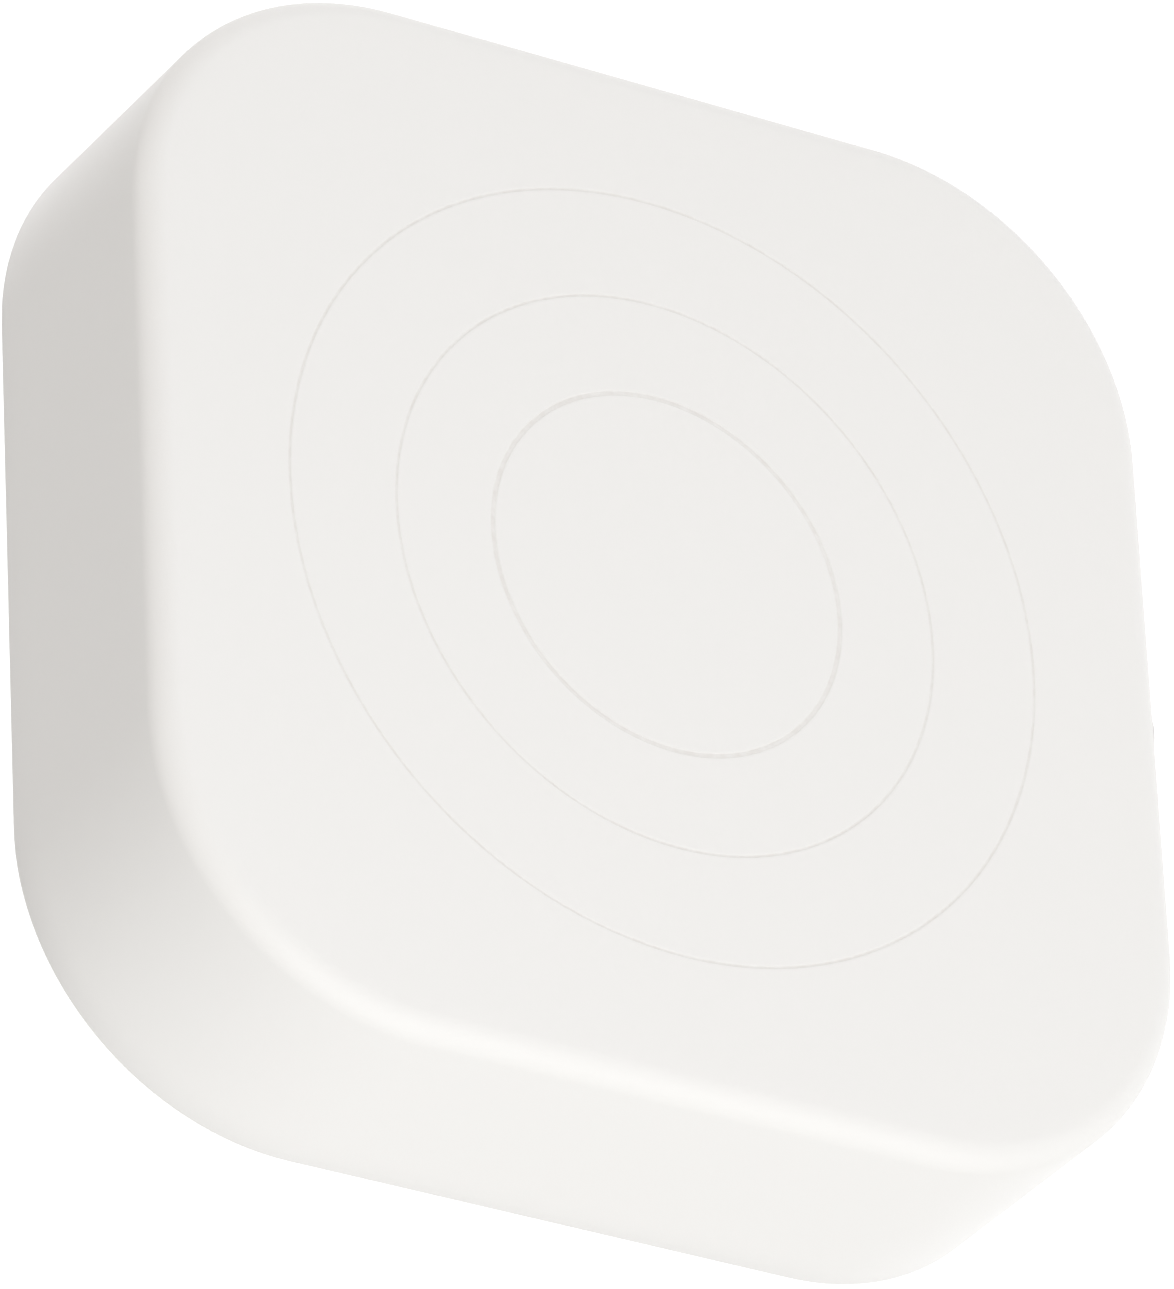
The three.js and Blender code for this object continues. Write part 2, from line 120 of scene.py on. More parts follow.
class CaseColours(bpy.types.PropertyGroup):
    """Colours of the case, the button, the pad and the light guide."""

    cover: colour("Cover", "White plastic of the cover", (0.868, 0.861, 0.850))
    # Painted shade: the button is coloured grey so that its side looks as dark as the shade it sits in.
    button: colour("Button", "Slightly greyer plastic of the side button", (0.66, 0.655, 0.645))
    # Painted shade: a darker colour for the grooves that stands in for the shade that falls in them.
    groove: colour("Groove", "Dulled plastic in the rings' grooves", (0.79, 0.77, 0.75))
    plate: colour("Back plate", "White plastic of the back plate", (0.80, 0.79, 0.765))
    foam: colour("Foam", "Closed-cell foam of the pad", (0.62, 0.61, 0.58))
    liner: colour("Liner", "Waxed paper on the adhesive", (0.78, 0.74, 0.66))
    guide: colour("Light guide", "Milky plastic behind the inner ring", (0.88, 0.86, 0.80))


class InnerSizes(bpy.types.PropertyGroup):
    """Sizes of the fine work inside the case."""

    track_width: length("Track width", "Width of a copper track", 0.22 * MM)
    copper_height: length("Copper height", "How far a track stands up under the mask", 0.035 * MM)
    via_radius: length("Via radius", "Outer radius of a plated hole", 0.28 * MM)
    print_width: length("Print width", "Width of the white lines printed on the board", 0.15 * MM)
    wire_radius: length("Wire radius", "Radius of the reed switch's leads", 0.25 * MM)
    thread_pitch: length("Thread pitch", "Rise of the board screws' thread in one turn", 0.7 * MM)
    thread_depth: length("Thread depth", "Depth of the board screws' thread", 0.16 * MM)


class InnerColours(bpy.types.PropertyGroup):
    """Colours of the pieces inside the case."""

    mask: colour("Solder mask", "Green coat of the boards", (0.018, 0.105, 0.052))
    masked_copper: colour("Masked copper", "Green coat where it lies on copper", (0.045, 0.205, 0.095))
    laminate: colour("Laminate", "Glass and resin on the cut edge of a board", (0.42, 0.39, 0.20))
    board_print: colour("Board print", "White lines printed on the board", (0.78, 0.78, 0.75))
    gold: colour("Gold", "Bare gold-plated pads", (0.83, 0.62, 0.27))
    solder: colour("Solder", "Solder joints and tinned ends", (0.66, 0.66, 0.65))
    black: colour("Black plastic", "Battery holder and tact switch", (0.022, 0.022, 0.024))
    steel: colour("Steel", "Nickel-plated steel of the cell and the screws", (0.60, 0.605, 0.61))
    spring: colour("Spring steel", "Battery clip, contact and bracket", (0.52, 0.515, 0.50))
    tin: colour("Tin", "Tin-plated sheet of the shield and the crystal", (0.63, 0.63, 0.625))
    lead: colour("Lead wire", "Tinned nickel-iron of the reed switch and the antenna", (0.64, 0.61, 0.54))
    gasket: colour("Gasket", "Dark nylon seal of the cell", (0.035, 0.037, 0.042))
    electrode: colour("Electrode", "Pressed powder inside the cell", (0.05, 0.05, 0.053))
    glass: colour("Glass", "Greenish glass of the reed switch", (0.80, 0.93, 0.84))
    chip: colour("Chip", "Black epoxy of the chips", (0.014, 0.014, 0.016))
    capacitor: colour("Capacitor", "Moulded body of the large capacitor", (0.60, 0.33, 0.06))
    polarity: colour("Polarity bar", "Dark bar on the large capacitor", (0.16, 0.05, 0.02))
    ceramic: colour("Ceramic", "Small capacitors and the crystal's base", (0.36, 0.26, 0.16))
    lamp_body: colour("Lamp body", "White body of the status lamp", (0.82, 0.81, 0.76))
    phosphor: colour("Phosphor", "Yellow coat of the status lamp", (0.80, 0.62, 0.10))


class StudioSettings(bpy.types.PropertyGroup):
    """The camera, the floor and the light."""

    azimuth: angle("Azimuth", "Turn of the camera round the sensor", -32.37)
    elevation: angle("Elevation", "Height of the camera over the horizon", -29.56)
    roll: angle("Roll", "Lean of the camera to its right", 2.85)
    distance: length("Distance", "From the camera to the point it looks at", 598.0 * MM)
    aim: lengths("Aim", "Point that the camera looks at", (0.01 * MM, -7.35 * MM, -0.08 * MM))
    lens: number("Lens", "Focal length, mm", 349.65)
    floor_drop: length("Floor drop", "From the sensor's middle down to the floor", 0.45)
    floor: colour("Floor", "Pale floor", (0.80, 0.80, 0.79))
    sky_level: number("Room light", "Mean strength of the light from the room", 1.138)
    sky_slope: numbers("Room light slope", "How much brighter the room is towards +X, +Y and +Z",
                       (0.18, 0.304, -0.02))
    dark_card: numbers("Dark card", "Direction of a dark card behind the sensor on its left",
                       (-0.664, 0.706, 0.246))
    card_light: number("Card light", "Share of the room light that the card gives", 0.17)
    warm_side: colour("Warm side", "Colour of the room light from the left", (1.0, 0.955, 0.915))
    key_power: number("Key light", "Power of the soft box below the face, W", 0.48)
    key_side: numbers("Key side", "Direction of the soft box", (0.0, -0.55, -0.83))
    key_distance: length("Key distance", "From the sensor's middle to the soft box", 0.36)
    key_size: length("Key size", "Across the soft box", 0.45)


# --------------------------------------------------------------------------- shader maths


class Value:
    """A shader socket in Python arithmetic: each operator adds one Math node."""

    def __init__(self, recipe, socket):
        self.recipe = recipe
        self.socket = socket

    def math(self, operation, *terms):
        return self.recipe.add("ShaderNodeMath", {"operation": operation}, dict(enumerate(terms)))

    def __add__(self, other):
        return self.math("ADD", self, other)

    def __sub__(self, other):
        return self.math("SUBTRACT", self, other)

    def __mul__(self, other):
        return self.math("MULTIPLY", self, other)

    def __abs__(self):
        return self.math("ABSOLUTE", self)

    def __lt__(self, other):
        return self.math("LESS_THAN", self, other)

    def root(self):
        return self.math("SQRT", self)

    def sine(self):
        return self.math("SINE", self)

    def at_most(self, other):
        return self.math("MINIMUM", self, other)


class Recipe:
    """The nodes of one material or of the world."""

    def __init__(self, owner):
        owner.use_nodes = True
        self.owner = owner
        self.tree = owner.node_tree
        self.tree.nodes.clear()

    def add(self, kind, settings=None, inputs=None, output=0):
        """Adds one node: its settings first, then the values or links of its inputs."""
        node = self.tree.nodes.new(kind)
        for name, setting in (settings or {}).items():
            setattr(node, name, setting)
        for key, given in (inputs or {}).items():
            if isinstance(given, Value):
                self.tree.links.new(given.socket, node.inputs[key])
            else:
                node.inputs[key].default_value = given
        return Value(self, node.outputs[output]) if node.outputs else None

    def place(self):
        """The point on the object, in millimetres."""
        here = self.add("ShaderNodeTexCoord", output="Object")
        return self.add("ShaderNodeVectorMath", {"operation": "SCALE"}, {0: here, "Scale": 1 / MM})

    def stretched(self, place, scale):
        """A place with each axis multiplied by a number."""
        return self.add("ShaderNodeVectorMath", {"operation": "MULTIPLY"}, {0: place, 1: scale})

    def axes(self, vector):
        """The x, y and z of a vector."""
        node = self.add("ShaderNodeSeparateXYZ", {}, {0: vector}).socket.node
        return [Value(self, socket) for socket in node.outputs]

    def noise(self, place, scale, detail=2.0, roughness=0.5):
        inputs = {"Vector": place, "Scale": scale, "Detail": detail, "Roughness": roughness}
        return self.add("ShaderNodeTexNoise", {}, inputs)

    def cells(self, place, scale):
        return self.add("ShaderNodeTexVoronoi", {}, {"Vector": place, "Scale": scale})

    def spread(self, value, low, high, to_low=0.0, to_high=1.0):
        """A value carried from one range to another, and held inside it."""
        inputs = {"Value": value, 1: low, 2: high, 3: to_low, 4: to_high}
        return self.add("ShaderNodeMapRange", {}, inputs)

    def satin(self, noise, low, high):
        """A roughness between two values, led by the busy middle of a noise."""
        return self.spread(noise, 0.3, 0.7, low, high)

    def mixed(self, share, first, second):
        """A colour between two colours."""
        ends = [given if isinstance(given, Value) else (*given, 1.0) for given in (first, second)]
        inputs = {0: share, 6: ends[0], 7: ends[1]}
        return self.add("ShaderNodeMix", {"data_type": "RGBA"}, inputs, output=2)

    def shades(self, share, shade, darker, lighter):
        """A colour between two tints of one colour."""
        return self.mixed(share, tint(shade, darker), tint(shade, lighter))

    def bump(self, height, depth, normal=None):
        """A bump whose height of 1 stands for a depth in millimetres."""
        inputs = {"Height": height, "Distance": depth * MM, "Strength": 1.0}
        if normal is not None:
            inputs["Normal"] = normal
        return self.add("ShaderNodeBump", {}, inputs)

    def surface(self, **inputs):
        """The material, finished with a Principled shader. Underscores stand for spaces."""
        named = {key.replace("_", " "): given for key, given in inputs.items()}
        shader = self.add("ShaderNodeBsdfPrincipled", {}, named)
        self.add("ShaderNodeOutputMaterial", {}, {"Surface": shader})
        return self.owner


def new_material(name):
    """The recipe of a new material, and the place that its textures are read at."""
    recipe = Recipe(bpy.data.materials.new(name))
    return recipe, recipe.place()


def tint(shade, factor):
    """A colour made lighter or darker."""
    return tuple(min(1.0, part * factor) for part in shade)


# ------------------------------------------------------------------------------ materials


def moulded_plastic(name, shade, roughness, grain=0.006, grain_scale=7.0, sheen=0.03):
    """Injection-moulded plastic: a fine eroded mould texture, faint flow and handling shine."""
    recipe, place = new_material(name)
    flow = recipe.noise(place, 0.05, 3.0)
    grain_height = recipe.noise(place, grain_scale, 3.0, 0.6)
    waviness = recipe.noise(place, 0.35, 2.0)
    handled = recipe.spread(recipe.noise(place, 0.12, 4.0), 0.45, 0.75)
    uneven = recipe.satin(grain_height, roughness - sheen, roughness + sheen)
    return recipe.surface(
        Base_Color=recipe.shades(flow, shade, 0.985, 1.012),
        Roughness=uneven - handled * sheen,
        Normal=recipe.bump(grain_height, grain, recipe.bump(waviness, 0.004)),
        IOR=1.5,
    )


def ringed_plastic(name, case, colours):
    """The cover's plastic, with duller plastic and a painted shade in the grooves of its rings."""
    recipe, place = new_material(name)
    x, y, z = recipe.axes(place)
    radius = (x * x + z * z).root()
    nearest = None
    for ring_radius, ring_width in zip(case.ring_radii, case.ring_widths):
        distance = abs(radius - ring_radius / MM) * (2 * MM / ring_width)
        nearest = distance if nearest is None else nearest.at_most(distance)
    line = recipe.spread(nearest, 0.6, 1.25, 1.0, 0.0)
    on_face = y < (COVER_LOW.y + 0.5 * case.edge_radius) / MM
    broken = recipe.spread(recipe.noise(place, 2.2, 2.0), 0.35, 0.65, 0.45, 1.0)
    # Mask of the grooves: there it darkens the colour as painted shade and makes the plastic duller.
    groove_shade_and_dullness = line * on_face * broken
    flow = recipe.noise(place, 0.05, 3.0)
    fine = recipe.noise(place, 7.0, 3.0, 0.6)
    waviness = recipe.noise(place, 0.35, 2.0)
    handled = recipe.spread(recipe.noise(place, 0.12, 4.0), 0.45, 0.75)
    plastic = recipe.shades(flow, colours.cover, 0.992, 1.006)
    grained = recipe.mixed(fine * 0.5, plastic, tint(colours.cover, 0.985))
    return recipe.surface(
        # The grooves' darker colour is painted shade.
        Base_Color=recipe.mixed(groove_shade_and_dullness, grained, colours.groove),
        Roughness=recipe.satin(fine, 0.40, 0.48) - handled * 0.03 + groove_shade_and_dullness * 0.25,
        Normal=recipe.bump(fine, 0.004, recipe.bump(waviness, 0.004)),
        IOR=1.48,
    )


def foam(name, shade):
    """Closed-cell foam, with its cut cells showing on the edge."""
    recipe, place = new_material(name)
    cell = recipe.cells(place, 5.5)
    small = recipe.cells(place, 13.0)
    hollow = recipe.spread(cell * 0.7 + small * 0.3, 0.1, 0.6)
    return recipe.surface(
        Base_Color=recipe.shades(hollow, shade, 0.78, 1.06),
        Roughness=recipe.spread(hollow, 0.0, 1.0, 0.95, 0.8),
        Normal=recipe.bump(hollow, 0.06),
    )


def waxed_paper(name, shade):
    """Release paper: fibres under a smooth coat."""
    recipe, place = new_material(name)
    fibres = recipe.noise(recipe.stretched(place, (0.5, 1.0, 2.2)), 2.5, 5.0, 0.65)
    cloud = recipe.noise(place, 0.25, 3.0)
    return recipe.surface(
        Base_Color=recipe.shades(fibres * 0.6 + cloud * 0.4, shade, 0.93, 1.05),
        Roughness=recipe.satin(fibres, 0.36, 0.5),
        Normal=recipe.bump(fibres, 0.008),
        Coat_Weight=0.15,
        Coat_Roughness=0.3,
    )


def milky_plastic(name, shade):
    """Milky plastic that spreads light, with a faint cloudiness."""
    recipe, place = new_material(name)
    cloud = recipe.noise(place, 0.6, 4.0)
    fine = recipe.noise(place, 9.0, 2.0)
    return recipe.surface(
        Base_Color=recipe.shades(cloud, shade, 0.94, 1.04),
        Roughness=recipe.satin(fine, 0.22, 0.34),
        Normal=recipe.bump(fine, 0.002),
        Subsurface_Weight=0.35,
        Subsurface_Scale=1.0 * MM,
    )


def plated_metal(name, shade, roughness, drawn=(1.0, 1.0, 1.0), tarnish=0.3):
    """Plated metal: fine rolling lines, dull patches where it was handled and small scratches."""
    recipe, place = new_material(name)
    lines = recipe.noise(recipe.stretched(place, drawn), 8.0, 4.0, 0.65)
    patches = recipe.spread(recipe.noise(place, 0.45, 4.0, 0.6), 0.42, 0.72)
    scratch_place = recipe.stretched(place, (0.25, 1.0, 3.0))
    scratches = recipe.spread(recipe.noise(scratch_place, 3.0, 2.0), 0.62, 0.68)
    uneven = recipe.satin(lines, roughness - 0.06, roughness + 0.06)
    return recipe.surface(
        Base_Color=recipe.mixed(patches * tarnish, shade, tint(shade, 0.70)),
        Metallic=1.0,
        Roughness=uneven + patches * 0.10 + scratches * 0.08,
        Normal=recipe.bump(lines, 0.003, recipe.bump(scratches, 0.001)),
    )


def solder_mask(name, colours, low, high):
    """Glossy mask over woven glass cloth, with bare laminate on the cut edge between two heights."""
    recipe, place = new_material(name)
    x, y, z = recipe.axes(place)
    threads = 5.2
    weave = (x * threads).sine() * (z * threads).sine()
    patches = recipe.noise(place, 0.25, 3.0)
    coat = recipe.shades(weave * 0.12 + patches * 0.5, colours.mask, 0.86, 1.2)
    fibres = recipe.noise(recipe.stretched(place, (0.6, 6.0, 0.6)), 2.5, 4.0, 0.7)
    bare = recipe.shades(fibres, colours.laminate, 0.7, 1.15)
    skin = 0.06
    on_edge = abs(y + 0.5 * (low + high)) < 0.5 * (high - low) - skin
    return recipe.surface(
        Base_Color=recipe.mixed(on_edge, coat, bare),
        Roughness=recipe.satin(patches, 0.24, 0.34) + on_edge * 0.4,
        Normal=recipe.bump(weave + fibres * on_edge * 2.0, 0.004),
        Coat_Weight=0.2,
        Coat_Roughness=0.12,
    )


def board_coat(name, shade, roughness):
    """A thin coat printed on a board, with slightly ragged strength."""
    recipe, place = new_material(name)
    mottle = recipe.noise(place, 3.5, 4.0, 0.6)
    return recipe.surface(
        Base_Color=recipe.shades(mottle, shade, 0.85, 1.12),
        Roughness=recipe.satin(mottle, roughness - 0.05, roughness + 0.07),
        Normal=recipe.bump(mottle, 0.003),
    )


def pressed_powder(name, shade):
    """Pressed powder: sooty grains with a few brighter specks."""
    recipe, place = new_material(name)
    grains = recipe.cells(place, 9.0)
    cloud = recipe.noise(place, 1.2, 4.0)
    return recipe.surface(
        Base_Color=recipe.shades(grains * 0.6 + cloud * 0.4, shade, 0.7, 1.7),
        Roughness=recipe.satin(cloud, 0.75, 0.9),
        Normal=recipe.bump(grains, 0.02),
    )


def tube_glass(name, shade):
    """Drawn soda glass with a faint green tint and slight waviness."""
    recipe, place = new_material(name)
    waves = recipe.noise(recipe.stretched(place, (1.0, 1.0, 0.25)), 1.5, 2.0)
    smears = recipe.spread(recipe.noise(place, 0.9, 4.0), 0.5, 0.75)
    return recipe.surface(
        Base_Color=recipe.shades(waves, shade, 0.96, 1.03),
        Roughness=recipe.spread(smears, 0.0, 1.0, 0.02, 0.10),
        Normal=recipe.bump(waves, 0.01),
        Transmission_Weight=1.0,
        IOR=1.47,
    )


def lamp_coat(name, shade):
    """Yellow phosphor under a clear resin."""
    recipe, place = new_material(name)
    grains = recipe.noise(place, 12.0, 3.0, 0.7)
    return recipe.surface(
        Base_Color=recipe.shades(grains, shade, 0.85, 1.15),
        Roughness=recipe.satin(grains, 0.3, 0.45),
        Normal=recipe.bump(grains, 0.004),
        Coat_Weight=1.0,
        Coat_Roughness=0.06,
    )


def pale_floor(name, shade):
    """A pale painted floor."""
    recipe, place = new_material(name)
    mottle = recipe.noise(place, 0.01, 3.0)
    return recipe.surface(
        Base_Color=recipe.shades(mottle, shade, 0.99, 1.01),
        Roughness=recipe.satin(mottle, 0.75, 0.85),
    )


# --------------------------------------------------------------------------- mesh helpers


def link(name, mesh):
    """A new object in the scene."""
    piece = bpy.data.objects.new(name, mesh)
    bpy.context.scene.collection.objects.link(piece)
    return piece


def built(name, work):
    """An object from a working mesh, which is used up."""
    mesh = bpy.data.meshes.new(name)
    work.to_mesh(mesh)
    work.free()
    return link(name, mesh)


def made_of(name, vertices, faces):
    """An object from vertices and faces, welded, with its faces turned outwards."""
    mesh = bpy.data.meshes.new(name)
    mesh.from_pydata(vertices, [], faces)
    work = bmesh.new()
    work.from_mesh(mesh)
    bpy.data.meshes.remove(mesh)
    bmesh.ops.remove_doubles(work, verts=work.verts, dist=1e-7)
    bmesh.ops.recalc_face_normals(work, faces=work.faces)
    return built(name, work)


def finished(piece, material, body, slot, *nodes):
    """Gives a piece its shading, material and body, and hides the CAD nodes it stands for."""
    piece.data.shade_smooth()
    piece.data.set_sharp_from_angle(angle=SHARP_EDGE)
    piece.data.materials.clear()
    piece.data.materials.append(material)
    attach(piece, body)
    if nodes:
        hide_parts(*nodes)


def carve(piece, operation, *tools):
    """Adds or cuts away other objects, which are used up."""
    for tool in tools:
        modifier = piece.modifiers.new("carve", "BOOLEAN")
        modifier.operation = operation
        modifier.solver = "EXACT"
        modifier.object = tool
        graph = bpy.context.evaluated_depsgraph_get()
        mesh = bpy.data.meshes.new_from_object(piece.evaluated_get(graph))
        piece.modifiers.clear()
        piece.data = mesh
        bpy.data.objects.remove(tool)
    return piece


def rounded_square(half, corner, arc_steps=32, straight_steps=20):
    """Points (x, z) of a square with round corners, anticlockwise from its upper right corner."""
    straight = half - corner
    points = []
    for quarter in range(4):
        turn = Matrix.Rotation(quarter * FULL_TURN / 4, 2)
        for step in range(arc_steps):
            bearing = FULL_TURN / 4 * (quarter + step / arc_steps)
            spoke = Vector((math.cos(bearing), math.sin(bearing)))
            points.append(turn @ Vector((straight, straight)) + corner * spoke)
        start = turn @ Vector((straight, half))
        end = turn @ Vector((-straight, half))
        points += [start.lerp(end, step / straight_steps) for step in range(straight_steps)]
    half_arc = arc_steps // 2
    return points[half_arc:] + points[:half_arc]


def facing(points, y):
    """Points (x, z) placed at a depth y."""
    return [Vector((x, y, z)) for x, z in points]


def capped(loop):
    """A patch of quads that fills a loop of 4 n points."""
    steps = len(loop) // 4
    closed = [*loop, loop[0]]
    south = closed[: steps + 1]
    east = closed[steps : 2 * steps + 1]
    north = closed[2 * steps : 3 * steps + 1][::-1]
    west = closed[3 * steps :][::-1]
    vertices = []
    for j in range(steps + 1):
        v = j / steps
        for i in range(steps + 1):
            u = i / steps
            edges = south[i].lerp(north[i], v) + west[j].lerp(east[j], u)
            corners = south[0].lerp(south[-1], u).lerp(north[0].lerp(north[-1], u), v)
            vertices.append(edges - corners)
    width = steps + 1
    faces = [
        (j * width + i, j * width + i + 1, (j + 1) * width + i + 1, (j + 1) * width + i)
        for j in range(steps)
        for i in range(steps)
    ]
    return vertices, faces


def lofted(name, loops, ring=False):
    """A skin of quads through loops of equal length, closed into a ring or filled at both ends."""
    count = len(loops[0])
    vertices = [point for loop in loops for point in loop]
    faces = []
    for level in range(len(loops) if ring else len(loops) - 1):
        low = level * count
        high = (level + 1) % len(loops) * count
        for i in range(count):
            j = (i + 1) % count
            faces.append((low + i, low + j, high + j, high + i))
    for loop in () if ring else (loops[0], loops[-1]):
        more_vertices, more_faces = capped(loop)
        base = len(vertices)
        vertices += more_vertices
        faces += [tuple(base + index for index in face) for face in more_faces]
    return made_of(name, vertices, faces)


def revolved(name, profile, centre, axis, steps=64, ring=False):
    """A profile of (radius, along) pairs turned about an axis through a point."""
    along = Vector(axis).normalized()
    side = along.orthogonal().normalized()
    up = along.cross(side)
    bearings = [FULL_TURN * (step + 0.5) / steps for step in range(steps)]
    spokes = [side * math.cos(bearing) + up * math.sin(bearing) for bearing in bearings]
    loops = [
        [Vector(centre) + along * distance + spoke * radius for spoke in spokes]
        for radius, distance in profile
    ]
    return lofted(name, loops, ring)


def fillet(corner, start, end, steps=4):
    """Points on the quarter curve that rounds a corner of a profile, from start to end."""
    corner, start, end = Vector(corner), Vector(start), Vector(end)
    middle = start + end - corner
    points = []
    for step in range(steps + 1):
        bearing = FULL_TURN / 4 * step / steps
        points.append(middle + (start - middle) * math.cos(bearing) + (end - middle) * math.sin(bearing))
    return [tuple(point) for point in points]


def softened(work, edges, radius, segments=2):
    """Rounds edges of a working mesh."""
    bmesh.ops.bevel(
        work, geom=edges, offset=radius, segments=segments, profile=0.5, affect="EDGES"
    )


def rounded_box(name, low, high, radius, segments=2):
    """A box between two corners with rounded edges."""
    low, high = Vector(low), Vector(high)
    work = bmesh.new()
    bmesh.ops.create_cube(work, size=1)
    size = high - low
    bmesh.ops.transform(work, matrix=Matrix.Diagonal((*size, 1)), verts=work.verts)
    bmesh.ops.translate(work, vec=(low + high) / 2, verts=work.verts)
    if radius:
        softened(work, work.edges[:], radius, segments)
    return built(name, work)


def at(x, height, z):
    """A place in millimetres: across the wall, out from the wall and up the wall."""
    return Vector((x, -height, z)) * MM


def spans(node):
    """The x, height and z ranges of a CAD node, in millimetres."""
    low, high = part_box(node)
    low, high = low / MM, high / MM
    return (low.x, high.x), (-high.y, -low.y), (low.z, high.z)


def middle(span):
    """The middle of a range."""
    return (span[0] + span[1]) / 2


def half_of(span):
    """Half the length of a range."""
    return (span[1] - span[0]) / 2


def about(centre, half):
    """A range that goes equally far to both sides of a place."""
    return centre - half, centre + half


def drawn_in(span, gap):
    """A range drawn in, or let out by a negative gap, at both ends."""
    return span[0] + gap, span[1] - gap


def brick(name, x, height, z, soft=0.05, segments=2):
    """A box with rounded edges, from its x, height and z ranges in millimetres."""
    low = at(x[0], height[1], z[0])
    high = at(x[1], height[0], z[1])
    return rounded_box(name, low, high, soft * MM, segments)


def peg(name, profile, x, z, steps=32, ring=False):
    """A round piece standing out from the wall: (radius, height) pairs in millimetres."""
    metres = [(radius * MM, height * MM) for radius, height in profile]
    return revolved(name, metres, at(x, 0, z), (0, -1, 0), steps, ring)


def upright(name, outline, near, far, soft):
    """An outline of (x, height) points filled between two places up the wall, with soft ends."""
    return prism(name, [[at(x, height, z) for x, height in outline] for z in (near, far)], soft, (0, 1))


def slab(name, outline, low, high, soft):
    """An outline of (x, z) points filled between two heights, with its outer edge softened."""
    return prism(name, [[at(x, height, z) for x, z in outline] for height in (low, high)], soft, (1,))


def prism(name, outlines, soft, softened_ends):
    """A solid between two outlines of equal length, with the edges of some ends softened."""
    work = bmesh.new()
    near, far = [[work.verts.new(place) for place in outline] for outline in outlines]
    ends = [work.faces.new(near), work.faces.new(far[::-1])]
    for i in range(len(near)):
        j = (i + 1) % len(near)
        work.faces.new((near[i], far[i], far[j], near[j]))
    bmesh.ops.recalc_face_normals(work, faces=work.faces)
    edges = [edge for end in reversed(softened_ends) for edge in ends[end].edges]
    softened(work, edges, soft * MM)
    return built(name, work)


def moved(piece, move):
    """Turns or shifts a piece's mesh."""
    piece.data.transform(move)
    return piece


def turned(quarters):
    """A turn about the line out of the wall, in quarters of a full turn."""
    return Matrix.Rotation(quarters * FULL_TURN / 4, 4, "Y")


def on_every_wall(make):
    """Two pieces on each wall. The given function makes one of the right wall from its place."""
    return [
        moved(make(place), turned(quarter)) for quarter in range(4) for place in HOOK_PLACES
    ]


def repeated(name, piece, moves):
    """One object with a copy of a piece for each move. The piece is used up."""
    work = bmesh.new()
    for move in moves:
        copy = piece.data.copy()
        copy.transform(move)
        work.from_mesh(copy)
        bpy.data.meshes.remove(copy)
    bpy.data.objects.remove(piece)
    return built(name, work)


def joined(name, *pieces):
    """One object from several, which are used up."""
    work = bmesh.new()
    for piece in pieces:
        work.from_mesh(piece.data)
        bpy.data.objects.remove(piece)
    return built(name, work)


def shift(x, z):
    """A move along the wall, in millimetres."""
    return Matrix.Translation(at(x, 0, z))


def shifts(places):
    """A move to each place on the wall."""
    return [shift(*place) for place in places]


def flat_section(width, thickness):
    """The section of a metal strip, in millimetres, with its four edges eased."""
    a, b = width / 2, thickness / 2
    ease = 0.3 * b
    return [
        (a, -b + ease), (a, b - ease), (a - ease, b), (ease - a, b),
        (-a, b - ease), (-a, ease - b), (ease - a, -b), (a - ease, -b),
    ]


def round_section(radius, sides=12):
    """The section of a wire, in millimetres."""
    bearings = [FULL_TURN * (side + 0.5) / sides for side in range(sides)]
    return [(radius * math.cos(bearing), radius * math.sin(bearing)) for bearing in bearings]


def bent(points, bend, steps=5):
    """A line of places with its inner corners rounded by a bend in millimetres."""
    path = [points[0]]
    for before, corner, after in zip(points, points[1:], points[2:]):
        start = corner + (before - corner).normalized() * bend * MM
        end = corner + (after - corner).normalized() * bend * MM
        path += [Vector(point) for point in fillet(corner, start, end, steps)]
    return [*path, points[-1]]


def swept(name, path, across, section):
    """A section of (across, up) pairs in millimetres carried along a line that lies in a plane."""
    across = Vector(across)
    loops = []
    for index, point in enumerate(path):
        before = path[index] - path[index - 1] if index else path[1] - path[0]
        after = path[index + 1] - path[index] if index < len(path) - 1 else before
        first, second = before.normalized(), after.normalized()
        up = (first.cross(across) + second.cross(across)) / (1 + first.dot(second))
        loops.append([point + (across * a + up * b) * MM for a, b in section])
    return lofted(name, loops)


def tracks(name, routes, width, low, high):
    """Flat tracks on a board: each route is a line of (x, z) places, in millimetres."""
    rise, half = (high - low) / 2, width / 2
    section = [(-rise, half), (rise, half), (rise, -half), (-rise, -half)]
    lines = [[at(x, (low + high) / 2, z) for x, z in route] for route in routes]
    return joined(name, *[swept(name, line, (0, -1, 0), section) for line in lines])


def flat_plate(name, node, corner_radius, levels):
    """A square plate with the case's corners, from (inset, height) pairs in millimetres."""
    half = spans(node)[0][1]
    corner = corner_radius / MM - (COVER_HIGH.x / MM - half)
    return lofted(name, [
        facing(rounded_square((half - inset) * MM, (corner - inset) * MM, 16, 6), -height * MM)
        for inset, height in levels
    ])


def fixing_places():
    """The places of the two board screws and of the two locating pins, in millimetres."""
    fixing = middle(spans("board_screw_2")[0])
    return [(-fixing, -fixing), (fixing, fixing)], [(fixing, -fixing), (-fixing, fixing)]


# ---------------------------------------------------------------------------------- stage


